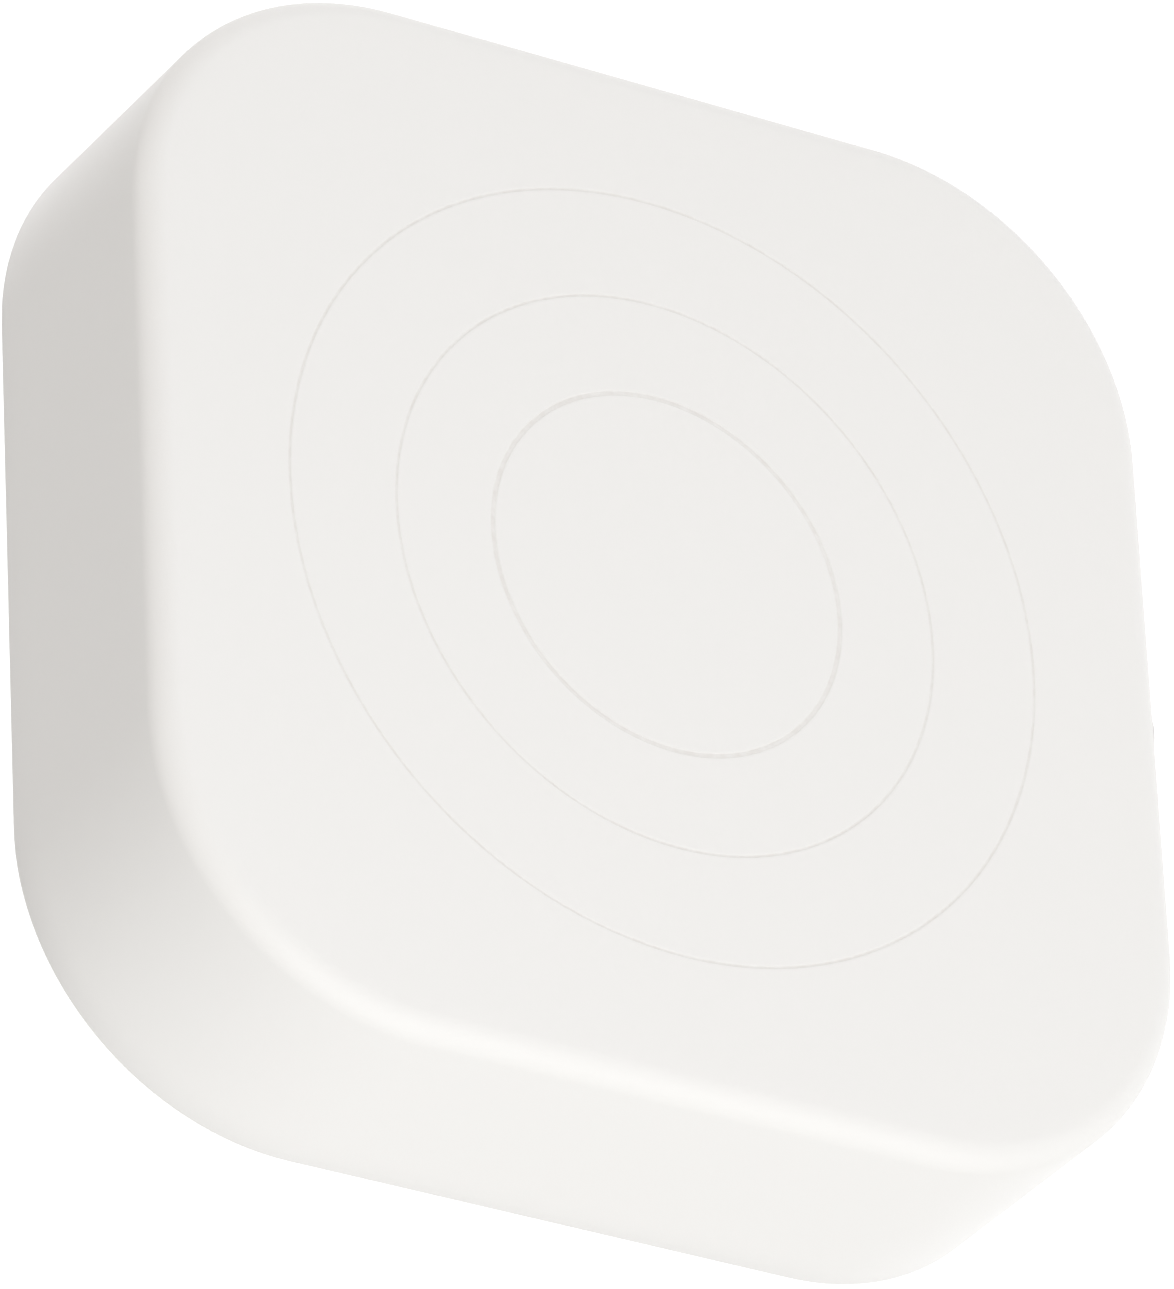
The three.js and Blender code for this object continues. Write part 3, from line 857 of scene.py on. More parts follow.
class DOORSENSOR_OT_stage(bpy.types.Operator):
    """Camera, floor and soft light"""

    bl_idname = "door_sensor.stage"
    bl_label = "Stage"

    def execute(self, context):
        studio = context.scene.door_sensor_studio
        self.camera(context, studio)
        self.floor(studio)
        self.room_light(context, studio)
        self.key_light(studio)
        context.scene.view_settings.view_transform = "Standard"
        return {"FINISHED"}

    def camera(self, context, studio):
        back = Vector((
            math.sin(studio.azimuth) * math.cos(studio.elevation),
            -math.cos(studio.azimuth) * math.cos(studio.elevation),
            math.sin(studio.elevation),
        ))
        level_right = Vector((0, 0, 1)).cross(back).normalized()
        level_up = back.cross(level_right)
        up = level_up * math.cos(studio.roll) + level_right * math.sin(studio.roll)
        right = up.cross(back)
        data = bpy.data.cameras.new("camera")
        data.lens = studio.lens
        data.sensor_width = 36
        data.sensor_fit = "AUTO"
        data.clip_start = 0.01
        camera = link("camera", data)
        turn = Matrix((right, up, back)).transposed().to_4x4()
        camera.matrix_world = Matrix.Translation(Vector(studio.aim) + back * studio.distance) @ turn
        context.scene.camera = camera

    def floor(self, studio):
        half = 4.0
        low = -studio.floor_drop
        corners = [(-half, -half, low), (half, -half, low), (half, half, low), (-half, half, low)]
        floor = made_of("floor", corners, [(0, 1, 2, 3)])
        floor.data.materials.append(pale_floor("pale_floor", studio.floor))

    def room_light(self, context, studio):
        world = bpy.data.worlds.new("room")
        context.scene.world = world
        recipe = Recipe(world)
        towards = recipe.add("ShaderNodeTexCoord", output="Generated")
        x, y, z = recipe.axes(towards)
        slope_x, slope_y, slope_z = studio.sky_slope
        slope_end = 0.15
        level = x.at_most(slope_end) * slope_x + y * slope_y + z * slope_z + studio.sky_level
        card_x, card_y, card_z = studio.dark_card
        towards_card = x * card_x + y * card_y + z * card_z
        card_rim, card_heart = 0.75, 0.875
        level = level * recipe.spread(towards_card, card_rim, card_heart, 1.0, studio.card_light)
        warm_end = 0.1
        warmth = recipe.spread(x, -1.0, warm_end, 1.0, 0.0)
        shade = recipe.mixed(warmth, (1.0, 1.0, 1.0), studio.warm_side)
        light = recipe.add("ShaderNodeBackground", {}, {"Color": shade, "Strength": level})
        recipe.add("ShaderNodeOutputWorld", {}, {"Surface": light})

    def key_light(self, studio):
        towards = Vector(studio.key_side).normalized()
        data = bpy.data.lights.new("soft_box", "AREA")
        data.shape = "DISK"
        data.size = studio.key_size
        data.energy = studio.key_power
        lamp = link("soft_box", data)
        lamp.location = towards * studio.key_distance
        lamp.rotation_mode = "QUATERNION"
        lamp.rotation_quaternion = towards.to_track_quat("Z", "Y")


# ---------------------------------------------------------------------- front cover pieces


class DOORSENSOR_OT_front_cover(bpy.types.Operator):
    """Moulded shell with three fine rings, a hole for the button and catches inside"""

    bl_idname = "door_sensor.front_cover"
    bl_label = "Front cover"

    def execute(self, context):
        case = context.scene.door_sensor_case
        colours = context.scene.door_sensor_colours
        cover = lofted("front_cover_shell", self.inside(case)[::-1] + self.outside(case))
        carve(cover, "DIFFERENCE", self.button_hole(case), self.pry_notch(case))
        carve(cover, "UNION", *self.catches(case), *self.button_rails(case))
        material = ringed_plastic("ringed_white_plastic", case, colours)
        finished(cover, material, "cover", "cover_white", "front_cover")
        return {"FINISHED"}

    def outside(self, case):
        """Loops from the rear edge, round the front edge and over the rings to the middle."""
        half = COVER_HIGH.z
        front = COVER_LOW.y
        rear = COVER_HIGH.y
        corner = case.corner_radius
        edge = case.edge_radius
        relief = 0.15 * MM
        outline = rounded_square(half, corner)
        loops = []
        for inset, y in ((relief, rear), (0.3 * relief, rear - 0.3 * relief)):
            loops.append(facing(rounded_square(half - inset, corner - inset), y))
        wall_rows = 7
        wall_rear = rear - relief
        wall_front = front + edge
        for row in range(wall_rows):
            loops.append(facing(outline, wall_rear + (wall_front - wall_rear) * row / wall_rows))
        edge_steps = 12
        for step in range(edge_steps + 1):
            bearing = FULL_TURN / 4 * step / edge_steps
            inset = edge * (1 - math.cos(bearing))
            y = wall_front - edge * math.sin(bearing)
            loops.append(facing(rounded_square(half - inset, corner - inset), y))
        spokes = [point.normalized() for point in outline]
        flat_outline = rounded_square(half - edge, corner - edge)
        first_circle = case.ring_radii[2] + case.ring_widths[2]
        for share in (0.12, 0.4, 0.75):
            blend = [edge_point.lerp(spoke * first_circle, share)
                     for edge_point, spoke in zip(flat_outline, spokes)]
            loops.append(facing(blend, front))
        for ring_radius, ring_width in reversed(list(zip(case.ring_radii, case.ring_widths))):
            for offset, depth in self.groove(ring_width / 2, case.ring_depth):
                radius = ring_radius + offset
                loops.append(facing([spoke * radius for spoke in spokes], front + depth))
        inner = case.ring_radii[0]
        loops += [facing([spoke * inner * share for spoke in spokes], front) for share in (0.9, 0.7)]
        return loops

    def groove(self, half, depth):
        """A groove's section from its outer to its inner side, with softened lips."""
        lip = 0.03 * MM
        outer = [(half + 4 * lip, 0), (half + lip, 0), (half, 0.25 * lip), (half - lip, depth)]
        return outer + [(-offset, y) for offset, y in reversed(outer)]

    def inside(self, case):
        """Loops from the rear edge up the inner wall and over the roof."""
        half = COVER_HIGH.z - case.wall
        corner = case.corner_radius - case.wall
        rear = COVER_HIGH.y
        roof = COVER_LOW.y + case.wall
        relief = 0.1 * MM
        loops = [facing(rounded_square(half + relief, corner + relief), rear)]
        loops += [
            facing(rounded_square(half, corner), y)
            for y in (rear - relief, rear + 0.35 * (roof - rear), rear + 0.7 * (roof - rear))
        ]
        foot = 0.4 * MM
        for step in range(4):
            bearing = FULL_TURN / 4 * step / 3
            inset = foot * (1 - math.cos(bearing))
            y = roof + foot - foot * math.sin(bearing)
            loops.append(facing(rounded_square(half - inset, corner - inset), y))
        return loops

    def button_hole(self, case):
        """A cutter for the hole, flared a little at the outer wall."""
        radius = case.button_radius + case.button_gap
        wall = COVER_HIGH.z
        flare = 0.16 * MM
        profile = [(radius, -3 * MM), (radius, -flare)]
        profile += fillet((radius, 0), (radius, -flare), (radius + flare, 0))[1:]
        profile.append((radius + flare, MM))
        centre = (wall, (BUTTON_LOW.y + BUTTON_HIGH.y) / 2, 0)
        return revolved("button_hole", profile, centre, (1, 0, 0))

    def pry_notch(self, case):
        """A cutter for the slot in the rear edge of the upper wall."""
        half_width = 4 * MM
        high = COVER_HIGH.z
        depth = PLATE_HIGH.y - 1.2 * MM
        low_corner = (-half_width, depth, high - case.wall - MM)
        high_corner = (half_width, COVER_HIGH.y + MM, high + MM)
        return rounded_box("pry_notch", low_corner, high_corner, 0.3 * MM, 3)

    def catches(self, case):
        """Eight ledges that the snap hooks of the back plate hold on to."""
        inner = (COVER_HIGH.z - case.wall) / MM
        return on_every_wall(lambda place: brick(
            "catch", (inner - 0.3, inner + 0.4), (4.0, 4.6), about(place, HOOK_HALF), 0.1
        ))

    def button_rails(self, case):
        """Two rails with lips that keep the button's flange against the wall."""
        inner = COVER_HIGH.z - case.wall
        low_y = COVER_LOW.y + case.wall - 0.3 * MM
        high_y = (BUTTON_LOW.y + BUTTON_HIGH.y) / 2 + 4 * MM
        tools = []
        for side in (-1, 1):
            for near, far, low_x, high_x in (
                (3.8 * MM, 4.6 * MM, inner - 2 * MM, inner + 0.4 * MM),
                (3.0 * MM, 4.6 * MM, inner - 2 * MM, inner - 1.5 * MM),
            ):
                low_z, high_z = sorted((side * near, side * far))
                tools.append(
                    rounded_box("rail", (low_x, low_y, low_z), (high_x, high_y, high_z), 0.08 * MM)
                )
        return tools


class DOORSENSOR_OT_side_button(bpy.types.Operator):
    """Round push button with a softly domed end, its flange and its post"""

    bl_idname = "door_sensor.side_button"
    bl_label = "Side button"

    def execute(self, context):
        case = context.scene.door_sensor_case
        colours = context.scene.door_sensor_colours
        radius = case.button_radius
        tip = BUTTON_HIGH.x
        post_end = BUTTON_LOW.x
        flange_outer = COVER_HIGH.z - case.wall - 0.1 * MM
        flange_inner = flange_outer - 0.8 * MM
        flange_radius = BUTTON_HIGH.z
        post_radius = 1.7 * MM
        soft = 0.22 * MM
        dome = 0.05 * MM
        profile = [(0.5 * MM, post_end), (post_radius - 0.2 * MM, post_end)]
        profile += [(post_radius, post_end + 0.2 * MM), (post_radius, flange_inner - 0.3 * MM)]
        profile += [(post_radius + 0.3 * MM, flange_inner), (flange_radius - 0.1 * MM, flange_inner)]
        profile += [(flange_radius, flange_inner + 0.1 * MM), (flange_radius, flange_outer)]
        profile += [(radius, flange_outer)]
        shoulder = tip - dome
        profile += fillet((radius, shoulder), (radius, shoulder - soft), (radius - soft, shoulder), 8)
        dome_steps = 5
        for step in range(1, dome_steps):
            share = step / dome_steps
            dome_radius = (radius - soft) * (1 - share)
            profile.append((dome_radius, shoulder + dome * (1 - (1 - share) ** 2)))
        centre = (0, (BUTTON_LOW.y + BUTTON_HIGH.y) / 2, 0)
        button = revolved("side_button_cap", profile, centre, (1, 0, 0), 80)
        # The button's grey colour is painted shade.
        material = moulded_plastic("button_painted_shade_plastic", colours.button, 0.42)
        finished(button, material, "button", "button_white", "side_button")
        return {"FINISHED"}


class DOORSENSOR_OT_light_guide(bpy.types.Operator):
    """Milky ring under the innermost groove, with a leg down to the lamp"""

    bl_idname = "door_sensor.light_guide"
    bl_label = "Light guide"

    def execute(self, context):
        x, height, _ = spans("light_guide")
        outer = x[1]
        inner = outer - 2.0
        thickness = 0.5
        soft = 0.1
        low, high = height[1] - thickness, height[1] - 0.02
        profile = fillet((outer, low), (outer - soft, low), (outer, low + soft))
        profile += fillet((outer, high), (outer, high - soft), (outer - soft, high))
        profile += fillet((inner, high), (inner + soft, high), (inner, high - soft))
        profile += fillet((inner, low), (inner, low + soft), (inner + soft, low))
        halo = peg("light_guide_ring", profile, 0, 0, 96, ring=True)
        lamp_x, _, lamp_z = spans("status_led")
        radius = 0.9
        foot = height[0]
        leg_profile = [(0.25, foot)]
        leg_profile += fillet((radius, foot), (radius - 0.35, foot), (radius, foot + 0.35))
        leg_profile += [(radius, low - 0.3), (radius + 0.08, low + 0.1), (radius + 0.08, low + 0.3)]
        leg = peg("leg", leg_profile, middle(lamp_x), middle(lamp_z), 40)
        carve(halo, "UNION", leg)
        material = milky_plastic("milky_plastic", context.scene.door_sensor_colours.guide)
        finished(halo, material, "cover", "milky_guide", "light_guide")
        return {"FINISHED"}


# ----------------------------------------------------------------------------- back pieces


class DOORSENSOR_OT_back_plate(bpy.types.Operator):
    """Back plate with its snap hooks, board posts, locating pins and stiffening ribs"""

    bl_idname = "door_sensor.back_plate"
    bl_label = "Back plate"

    def execute(self, context):
        case = context.scene.door_sensor_case
        thickness = 1.6
        x, height, _ = spans("back_plate")
        half = x[1]
        rear = height[0]
        floor = rear + thickness
        plate = self.plate(case, rear, floor)
        under_board = spans("circuit_board")[1][0]
        screws, pins = fixing_places()
        adds = self.ribs(screws[1][0], floor)
        adds += [self.post(place, floor, under_board) for place in screws + pins]
        adds += [self.locating_pin(place, under_board, height[1]) for place in pins]
        adds += self.hooks(half, floor)
        carve(plate, "UNION", *adds)
        carve(plate, "DIFFERENCE", *[self.pilot_hole(place, floor, under_board) for place in screws])
        shade = context.scene.door_sensor_colours.plate
        material = moulded_plastic("plate_plastic", shade, 0.52, grain=0.012, grain_scale=5.0)
        finished(plate, material, "base", "base_white", "back_plate")
        return {"FINISHED"}

    def plate(self, case, rear, floor):
        soft = 0.3
        steps = 4
        levels = []
        for step in range(steps + 1):
            bearing = FULL_TURN / 4 * step / steps
            levels.append((soft * (1 - math.sin(bearing)), rear + soft * (1 - math.cos(bearing))))
        levels += [(inset, rear + floor - height) for inset, height in reversed(levels)]
        return flat_plate("back_plate_moulding", "back_plate", case.corner_radius, levels)

    def post(self, place, floor, top):
        profile = [(2.7, floor - 0.3), (2.7, floor)]
        profile += fillet((2.25, floor), (2.7, floor), (2.25, floor + 0.45))
        profile += [(2.2, top - 0.12), (2.08, top)]
        return peg("post", profile, *place, 32)

    def locating_pin(self, place, low, high):
        profile = [(0.9, low - 0.3), (0.9, high - 0.4), (0.8, high - 0.15), (0.55, high)]
        return peg("pin", profile, *place, 24)

    def pilot_hole(self, place, floor, top):
        return peg("hole", [(1.08, floor + 0.2), (1.08, top - 0.3), (1.4, top + 0.5)], *place, 24)

    def ribs(self, fixing, floor):
        """Low ribs that join the four posts in a square."""
        half_width = 0.5
        low, high = floor - 0.2, floor + 1.4
        reach = fixing - 1.5
        pieces = []
        for side in (-fixing, fixing):
            across = about(side, half_width)
            pieces.append(brick("rib", (-reach, reach), (low, high), across, 0.15))
            pieces.append(brick("rib", across, (low, high), (-reach, reach), 0.15))
        return pieces

    def hooks(self, half, floor):
        """Eight snap hooks with a ramped nose."""
        leaf_in, leaf_out, nose = half - 1.4, half - 0.3, half - 0.15
        outline = [
            (leaf_in, floor - 0.3), (leaf_out, floor - 0.3), (leaf_out, 4.8), (nose, 4.82),
            (nose, 5.0), (leaf_out - 0.3, 6.1), (leaf_out - 0.42, 6.2), (leaf_in + 0.12, 6.2),
            (leaf_in, 6.08),
        ]
        return on_every_wall(
            lambda place: upright("hook", outline, *about(place, HOOK_HALF), 0.08)
        )


class DOORSENSOR_OT_adhesive_pad(bpy.types.Operator):
    """Foam pad under its release paper"""

    bl_idname = "door_sensor.adhesive_pad"
    bl_label = "Adhesive pad"

    def execute(self, context):
        case = context.scene.door_sensor_case
        colours = context.scene.door_sensor_colours
        half = PAD_HIGH.x
        corner = case.corner_radius - (COVER_HIGH.z - half)
        self.foam_pad(case, colours, half - 0.35 * MM, corner - 0.35 * MM)
        self.release_paper(case, colours, half, corner)
        return {"FINISHED"}

    def foam_pad(self, case, colours, half, corner):
        low = PAD_LOW.y
        high = PAD_HIGH.y - case.liner_thickness
        bulge = 0.05 * MM
        rows = 6
        loops = []
        for row in range(rows + 1):
            share = row / rows
            inset = bulge * (2 * share - 1) ** 2
            outline = rounded_square(half - inset, corner - inset, 24, 12)
            loops.append(facing(outline, low + (high - low) * share))
        pad = lofted("foam_pad", loops)
        finished(pad, foam("pad_foam", colours.foam), "base", "foam_pad", "adhesive_pad")

    def release_paper(self, case, colours, half, corner):
        low = PAD_HIGH.y - case.liner_thickness + 0.005 * MM
        loops = [facing(rounded_square(half, corner, 24, 12), y) for y in (low, PAD_HIGH.y)]
        paper = lofted("release_paper", loops)
        finished(paper, waxed_paper("release_paper", colours.liner), "base", "foam_pad")


# ---------------------------------------------------------------------------- inner pieces


class DOORSENSOR_OT_board_screws(bpy.types.Operator):
    """Two pan-head screws with a cross recess and a cut thread"""

    bl_idname = "door_sensor.board_screws"
    bl_label = "Board screws"

    def execute(self, context):
        colours = context.scene.door_sensor_inner_colours
        sizes = context.scene.door_sensor_inner_sizes
        material = plated_metal("screw_steel", colours.steel, 0.30)
        for node in ("board_screw_1", "board_screw_2"):
            x, height, z = spans(node)
            seat = spans("circuit_board")[1][1]
            head = self.head(x, height, z, seat)
            shank = self.shank(sizes, x, height, z, seat)
            screw = joined(f"{node}_turned", head, shank)
            finished(screw, material, "base", "steel", node)
        return {"FINISHED"}

    def head(self, x, height, z, seat):
        radius = half_of(x)
        top = height[1]
        profile = [(0.9, seat), (radius - 0.08, seat), (radius, seat + 0.1), (radius, seat + 0.55)]
        profile += fillet((radius, top), (radius, seat + 0.55), (radius - 0.75, top), 6)[1:]
        profile += [(0.6, top)]
        head = peg("head", profile, middle(x), middle(z), 40)
        arms = []
        for long_x, long_z in ((0.95, 0.19), (0.19, 0.95)):
            arms.append(brick(
                "arm",
                about(middle(x), long_x),
                (top - 0.75, top + 0.3),
                about(middle(z), long_z),
                0.03,
            ))
        return carve(head, "DIFFERENCE", *arms)

    def shank(self, sizes, x, height, z, seat):
        """A shank whose radius follows a thread's triangular wave round and along it."""
        pitch = sizes.thread_pitch / MM
        depth = sizes.thread_depth / MM
        sides = 24
        rows_per_turn = 6
        crest = 1.0
        tip = height[0]
        rows = round((seat + 0.1 - tip) / pitch * rows_per_turn)
        loops = []
        for row in range(rows + 1):
            up = tip + row * pitch / rows_per_turn
            taper = min(1.0, 0.55 + 0.45 * (up - tip) / 0.8)
            loop = []
            for side in range(sides):
                share = (row / rows_per_turn + side / sides) % 1.0
                wave = abs(2 * share - 1)
                radius = (crest - depth * wave) * taper
                bearing = FULL_TURN * side / sides
                loop.append(at(
                    middle(x) + radius * math.cos(bearing), up, middle(z) + radius * math.sin(bearing)
                ))
            loops.append(loop)
        return lofted("shank", loops)


class DOORSENSOR_OT_battery_holder(bpy.types.Operator):
    """Black holder with ribs and a ledge, its spring clip and its arched contact"""

    bl_idname = "door_sensor.battery_holder"
    bl_label = "Battery holder"

    def execute(self, context):
        colours = context.scene.door_sensor_inner_colours
        self.holder(colours)
        spring = plated_metal("spring_plate", colours.spring, 0.30, (0.5, 0.5, 4.0))
        self.clip(spring)
        self.contact(spring)
        return {"FINISHED"}

    def outline(self, middle_x, middle_z, inner, outer, end):
        steps = 40
        turns = [FULL_TURN / 2 * step / steps for step in range(steps + 1)]
        arc = [(middle_x + outer * math.cos(a), middle_z + outer * math.sin(a)) for a in turns]
        back = [
            (middle_x + inner * math.cos(a), middle_z + inner * math.sin(a)) for a in reversed(turns)
        ]
        legs_out = [(middle_x - outer, end), (middle_x - inner, end)]
        legs_in = [(middle_x + inner, end), (middle_x + outer, end)]
        return arc + legs_out + back + legs_in

    def holder(self, colours):
        x, height, z = spans("battery_holder")
        cell_x, cell_height, cell_z = spans("coin_cell_can")
        centre = (middle(cell_x), middle(cell_z))
        outer = half_of(x)
        inner = outer - 1.2
        ledge_top = cell_height[0] - 0.25
        wall = slab("battery_holder_moulding", self.outline(*centre, inner, outer, z[0]), *height, 0.18)
        ledge_outline = self.outline(*centre, inner - 1.1, outer - 0.3, z[0] + 0.15)
        ledge = slab("ledge", ledge_outline, height[0] + 0.02, ledge_top, 0.08)
        adds = [ledge]
        for step in range(7):
            rib = brick("rib", (outer - 0.3, outer + 0.4), (height[0], height[1] - 0.8), (-0.4, 0.4), 0.12)
            adds.append(moved(rib, shift(*centre) @ turned(-step / 3)))
        carve(wall, "UNION", *adds)
        notch = brick(
            "notch", about(centre[0], 3.2), (height[1] - 1.2, height[1] + 1),
            (centre[1] + inner - 1, centre[1] + outer + 1), 0.2,
        )
        carve(wall, "DIFFERENCE", notch)
        material = moulded_plastic("black_plastic", colours.black, 0.48, grain=0.014, grain_scale=6.0)
        finished(wall, material, "base", "black_plastic", "battery_holder")

    def clip(self, material):
        x, height, z = spans("battery_clip")
        thickness = 0.25
        half = thickness / 2
        top = height[1] - half
        stand = z[1] - half
        foot = height[0] + half + 0.02
        line = [
            at(middle(x), foot, stand + 1.4), at(middle(x), foot, stand), at(middle(x), top, stand),
            at(middle(x), top, z[0] + 1.6), at(middle(x), top + 0.1, z[0]),
        ]
        width = x[1] - x[0]
        clip = swept("battery_clip_strip", bent(line, 0.45), (1, 0, 0), flat_section(width, thickness))
        slot_x = about(middle(x), 0.45)
        slot = brick("slot", slot_x, about(top, 1), (z[0] - 1, z[0] + 9), 0.2)
        window = brick(
            "window", about(middle(x), 1.1), (height[0] + 1.6, height[0] + 3.6),
            about(stand, 1), 0.25,
        )
        carve(clip, "DIFFERENCE", slot, window)
        finished(clip, material, "base", "spring_steel", "battery_clip")

    def contact(self, material):
        x, height, z = spans("battery_contact")
        thickness = 0.2
        low = height[0] + thickness / 2 + 0.02
        high = height[1] - thickness / 2
        centre = middle(z)
        half_length = half_of(z)
        steps = 24
        line = []
        for step in range(steps + 1):
            along = half_length * (2 * step / steps - 1)
            arch = max(0.0, math.cos(along / (half_length - 2) * FULL_TURN / 4))
            within = abs(along) < half_length - 2
            line.append(at(middle(x), low + (high - low) * (arch if within else 0), centre + along))
        strip = swept("battery_contact_strip", line, (1, 0, 0), flat_section(x[1] - x[0], thickness))
        slots = [
            brick("slot", about(middle(x), 0.25), (low - 1, high + 1),
                  about(centre + side, 1.6), 0.15)
            for side in (-2.0, 2.0)
        ]
        carve(strip, "DIFFERENCE", *slots)
        finished(strip, material, "base", "spring_steel", "battery_contact")


class DOORSENSOR_OT_coin_cell(bpy.types.Operator):
    """Coin cell: can with a crimped rim, cap, gasket and electrode stack"""

    bl_idname = "door_sensor.coin_cell"
    bl_label = "Coin cell"

    def execute(self, context):
        colours = context.scene.door_sensor_inner_colours
        x, height, z = spans("coin_cell_can")
        place = (middle(x), middle(z))
        radius = half_of(x)
        steel = plated_metal("cell_steel", colours.steel, 0.27, (0.35, 1.0, 2.5))
        can = peg("coin_cell_can_shell", self.can(radius, *height), *place, 128)
        finished(can, steel, "battery", "steel", "coin_cell_can")
        x, height, z = spans("coin_cell_cap")
        cap = peg("coin_cell_cap_shell", self.cap(half_of(x), *height), *place, 96)
        finished(cap, steel, "battery", "steel", "coin_cell_cap")
        x, height, z = spans("coin_cell_gasket")
        outer = half_of(x)
        inner = spans("coin_cell_cap")[0]
        inner = half_of(inner) + 0.05
        low, high = height
        profile = fillet((outer, low), (outer - 0.2, low), (outer, low + 0.2))
        profile += [(outer, high - 0.1), (outer - 0.1, high), (inner + 0.1, high), (inner, high - 0.1)]
        profile += fillet((inner, low), (inner, low + 0.15), (inner + 0.15, low))
        gasket = peg("coin_cell_gasket_ring", profile, *place, 96, ring=True)
        nylon = moulded_plastic("gasket_nylon", colours.gasket, 0.42, grain=0.003)
        finished(gasket, nylon, "battery", "black_plastic", "coin_cell_gasket")
        x, height, z = spans("coin_cell_electrodes")
        stack = peg("coin_cell_electrode_stack", self.stack(half_of(x), *height), *place, 64)
        powder = pressed_powder("electrode_powder", colours.electrode)
        finished(stack, powder, "battery", "electrode", "coin_cell_electrodes")
        return {"FINISHED"}

    def can(self, radius, low, high):
        """From the middle of the outer floor, down the wall, round the crimp and back inside."""
        wall = 0.25
        step_radius = radius - 1.6
        profile = [(2.0, high - 0.04), (step_radius - 0.25, high - 0.04), (step_radius, high)]
        profile += fillet((radius, high), (radius - 0.55, high), (radius, high - 0.55), 6)
        profile += fillet((radius, low), (radius, low + 0.12), (radius - 0.12, low), 4)
        profile += [(radius - wall, low), (radius - wall, high - 0.6)]
        profile += [(radius - wall - 0.3, high - wall - 0.04), (2.0, high - wall - 0.04)]
        return profile

    def cap(self, radius, low, high):
        wall = 0.25
        dish = radius - 1.5
        profile = [(2.0, low + 0.05), (dish - 0.2, low + 0.05), (dish, low)]
        profile += fillet((radius, low), (radius - 0.4, low), (radius, low + 0.4), 5)
        profile += [(radius, high), (radius - wall, high), (radius - wall, low + wall + 0.35)]
        profile += [(radius - wall - 0.3, low + wall + 0.05), (2.0, low + wall + 0.05)]
        return profile

    def stack(self, radius, low, high):
        """Anode, separator and cathode, each with a softened rim."""
        levels = [low, low + 0.9, low + 1.15, high]
        profile = [(1.0, low)]
        for start, end in zip(levels, levels[1:]):
            soft = 0.08
            profile += [(radius - soft, start), (radius, start + soft), (radius, end - soft)]
            profile += [(radius - soft, end)]
        return [*profile, (1.0, high)]


class DOORSENSOR_OT_reed_switch(bpy.types.Operator):
    """Glass tube with two wire leads and two flat blades"""

    bl_idname = "door_sensor.reed_switch"
    bl_label = "Reed switch"

    def execute(self, context):
        colours = context.scene.door_sensor_inner_colours
        wire = context.scene.door_sensor_inner_sizes.wire_radius / MM
        x, height, z = spans("reed_glass")
        place = (middle(x), middle(height))
        tube = self.tube(place, half_of(x), z[1], wire)
        finished(tube, tube_glass("switch_glass", colours.glass), "base", "reed_glass", "reed_glass")
        nickel = plated_metal("lead_wire", colours.lead, 0.28, (2.0, 2.0, 0.3))
        for node, side in (("reed_lead_fixed", -1), ("reed_lead_moving", 1)):
            lead = self.lead(node, place, wire, side)
            finished(lead, nickel, "base", "nickel_lead", node)
        x, height, z = spans("reed_blade")
        blade = brick("reed_blade_strip", x, height, z, 0.06, 3)
        finished(blade, nickel, "reed_contact", "nickel_lead", "reed_blade")
        return {"FINISHED"}

    def tube(self, place, radius, end, wire):
        """A tube whose ends were melted down on to the leads."""
        bore = radius - 0.35
        seal = wire + 0.02
        half = [(seal, 0.0), (seal, end - 1.5)]
        inner = [(bore, 0.0), (bore, end - 1.5)]
        inner += fillet((bore, end - 0.7), (bore, end - 1.5), (seal, end - 0.7), 6)[1:]
        rim = fillet((radius, end), (seal + 0.12, end), (radius, end - 1.1), 8)
        half = inner + [(seal, end - 0.02)] + rim + [(radius, 0.0)]
        other = [(reach, -along) for reach, along in reversed(half[1:-1])]
        profile = [(reach * MM, along * MM) for reach, along in half + other]
        return revolved("reed_glass_tube", profile, at(*place, 0), (0, 0, 1), 48, ring=True)

    def lead(self, node, place, wire, side):
        """A wire from the board into the glass. The fixed one ends in a flattened blade."""
        across, height = place
        z = spans(node)[2]
        far = (z[0] if side < 0 else z[1]) - side * wire
        inner_end = -5.8 if side < 0 else z[0]
        board = spans("circuit_board")[1][1]
        line = [
            at(across, board - 0.02, far),
            at(across, height, far),
            at(across, height, inner_end),
        ]
        wire_piece = swept(f"{node}_wire", bent(line, 0.55, 6), (1, 0, 0), round_section(wire))
        if side > 0:
            return wire_piece
        blade_x = about(across, 0.5)
        blade = brick("blade", blade_x, (height - 0.35, height - 0.15), (-6.2, z[1]), 0.06)
        return joined(f"{node}_wire", wire_piece, blade)


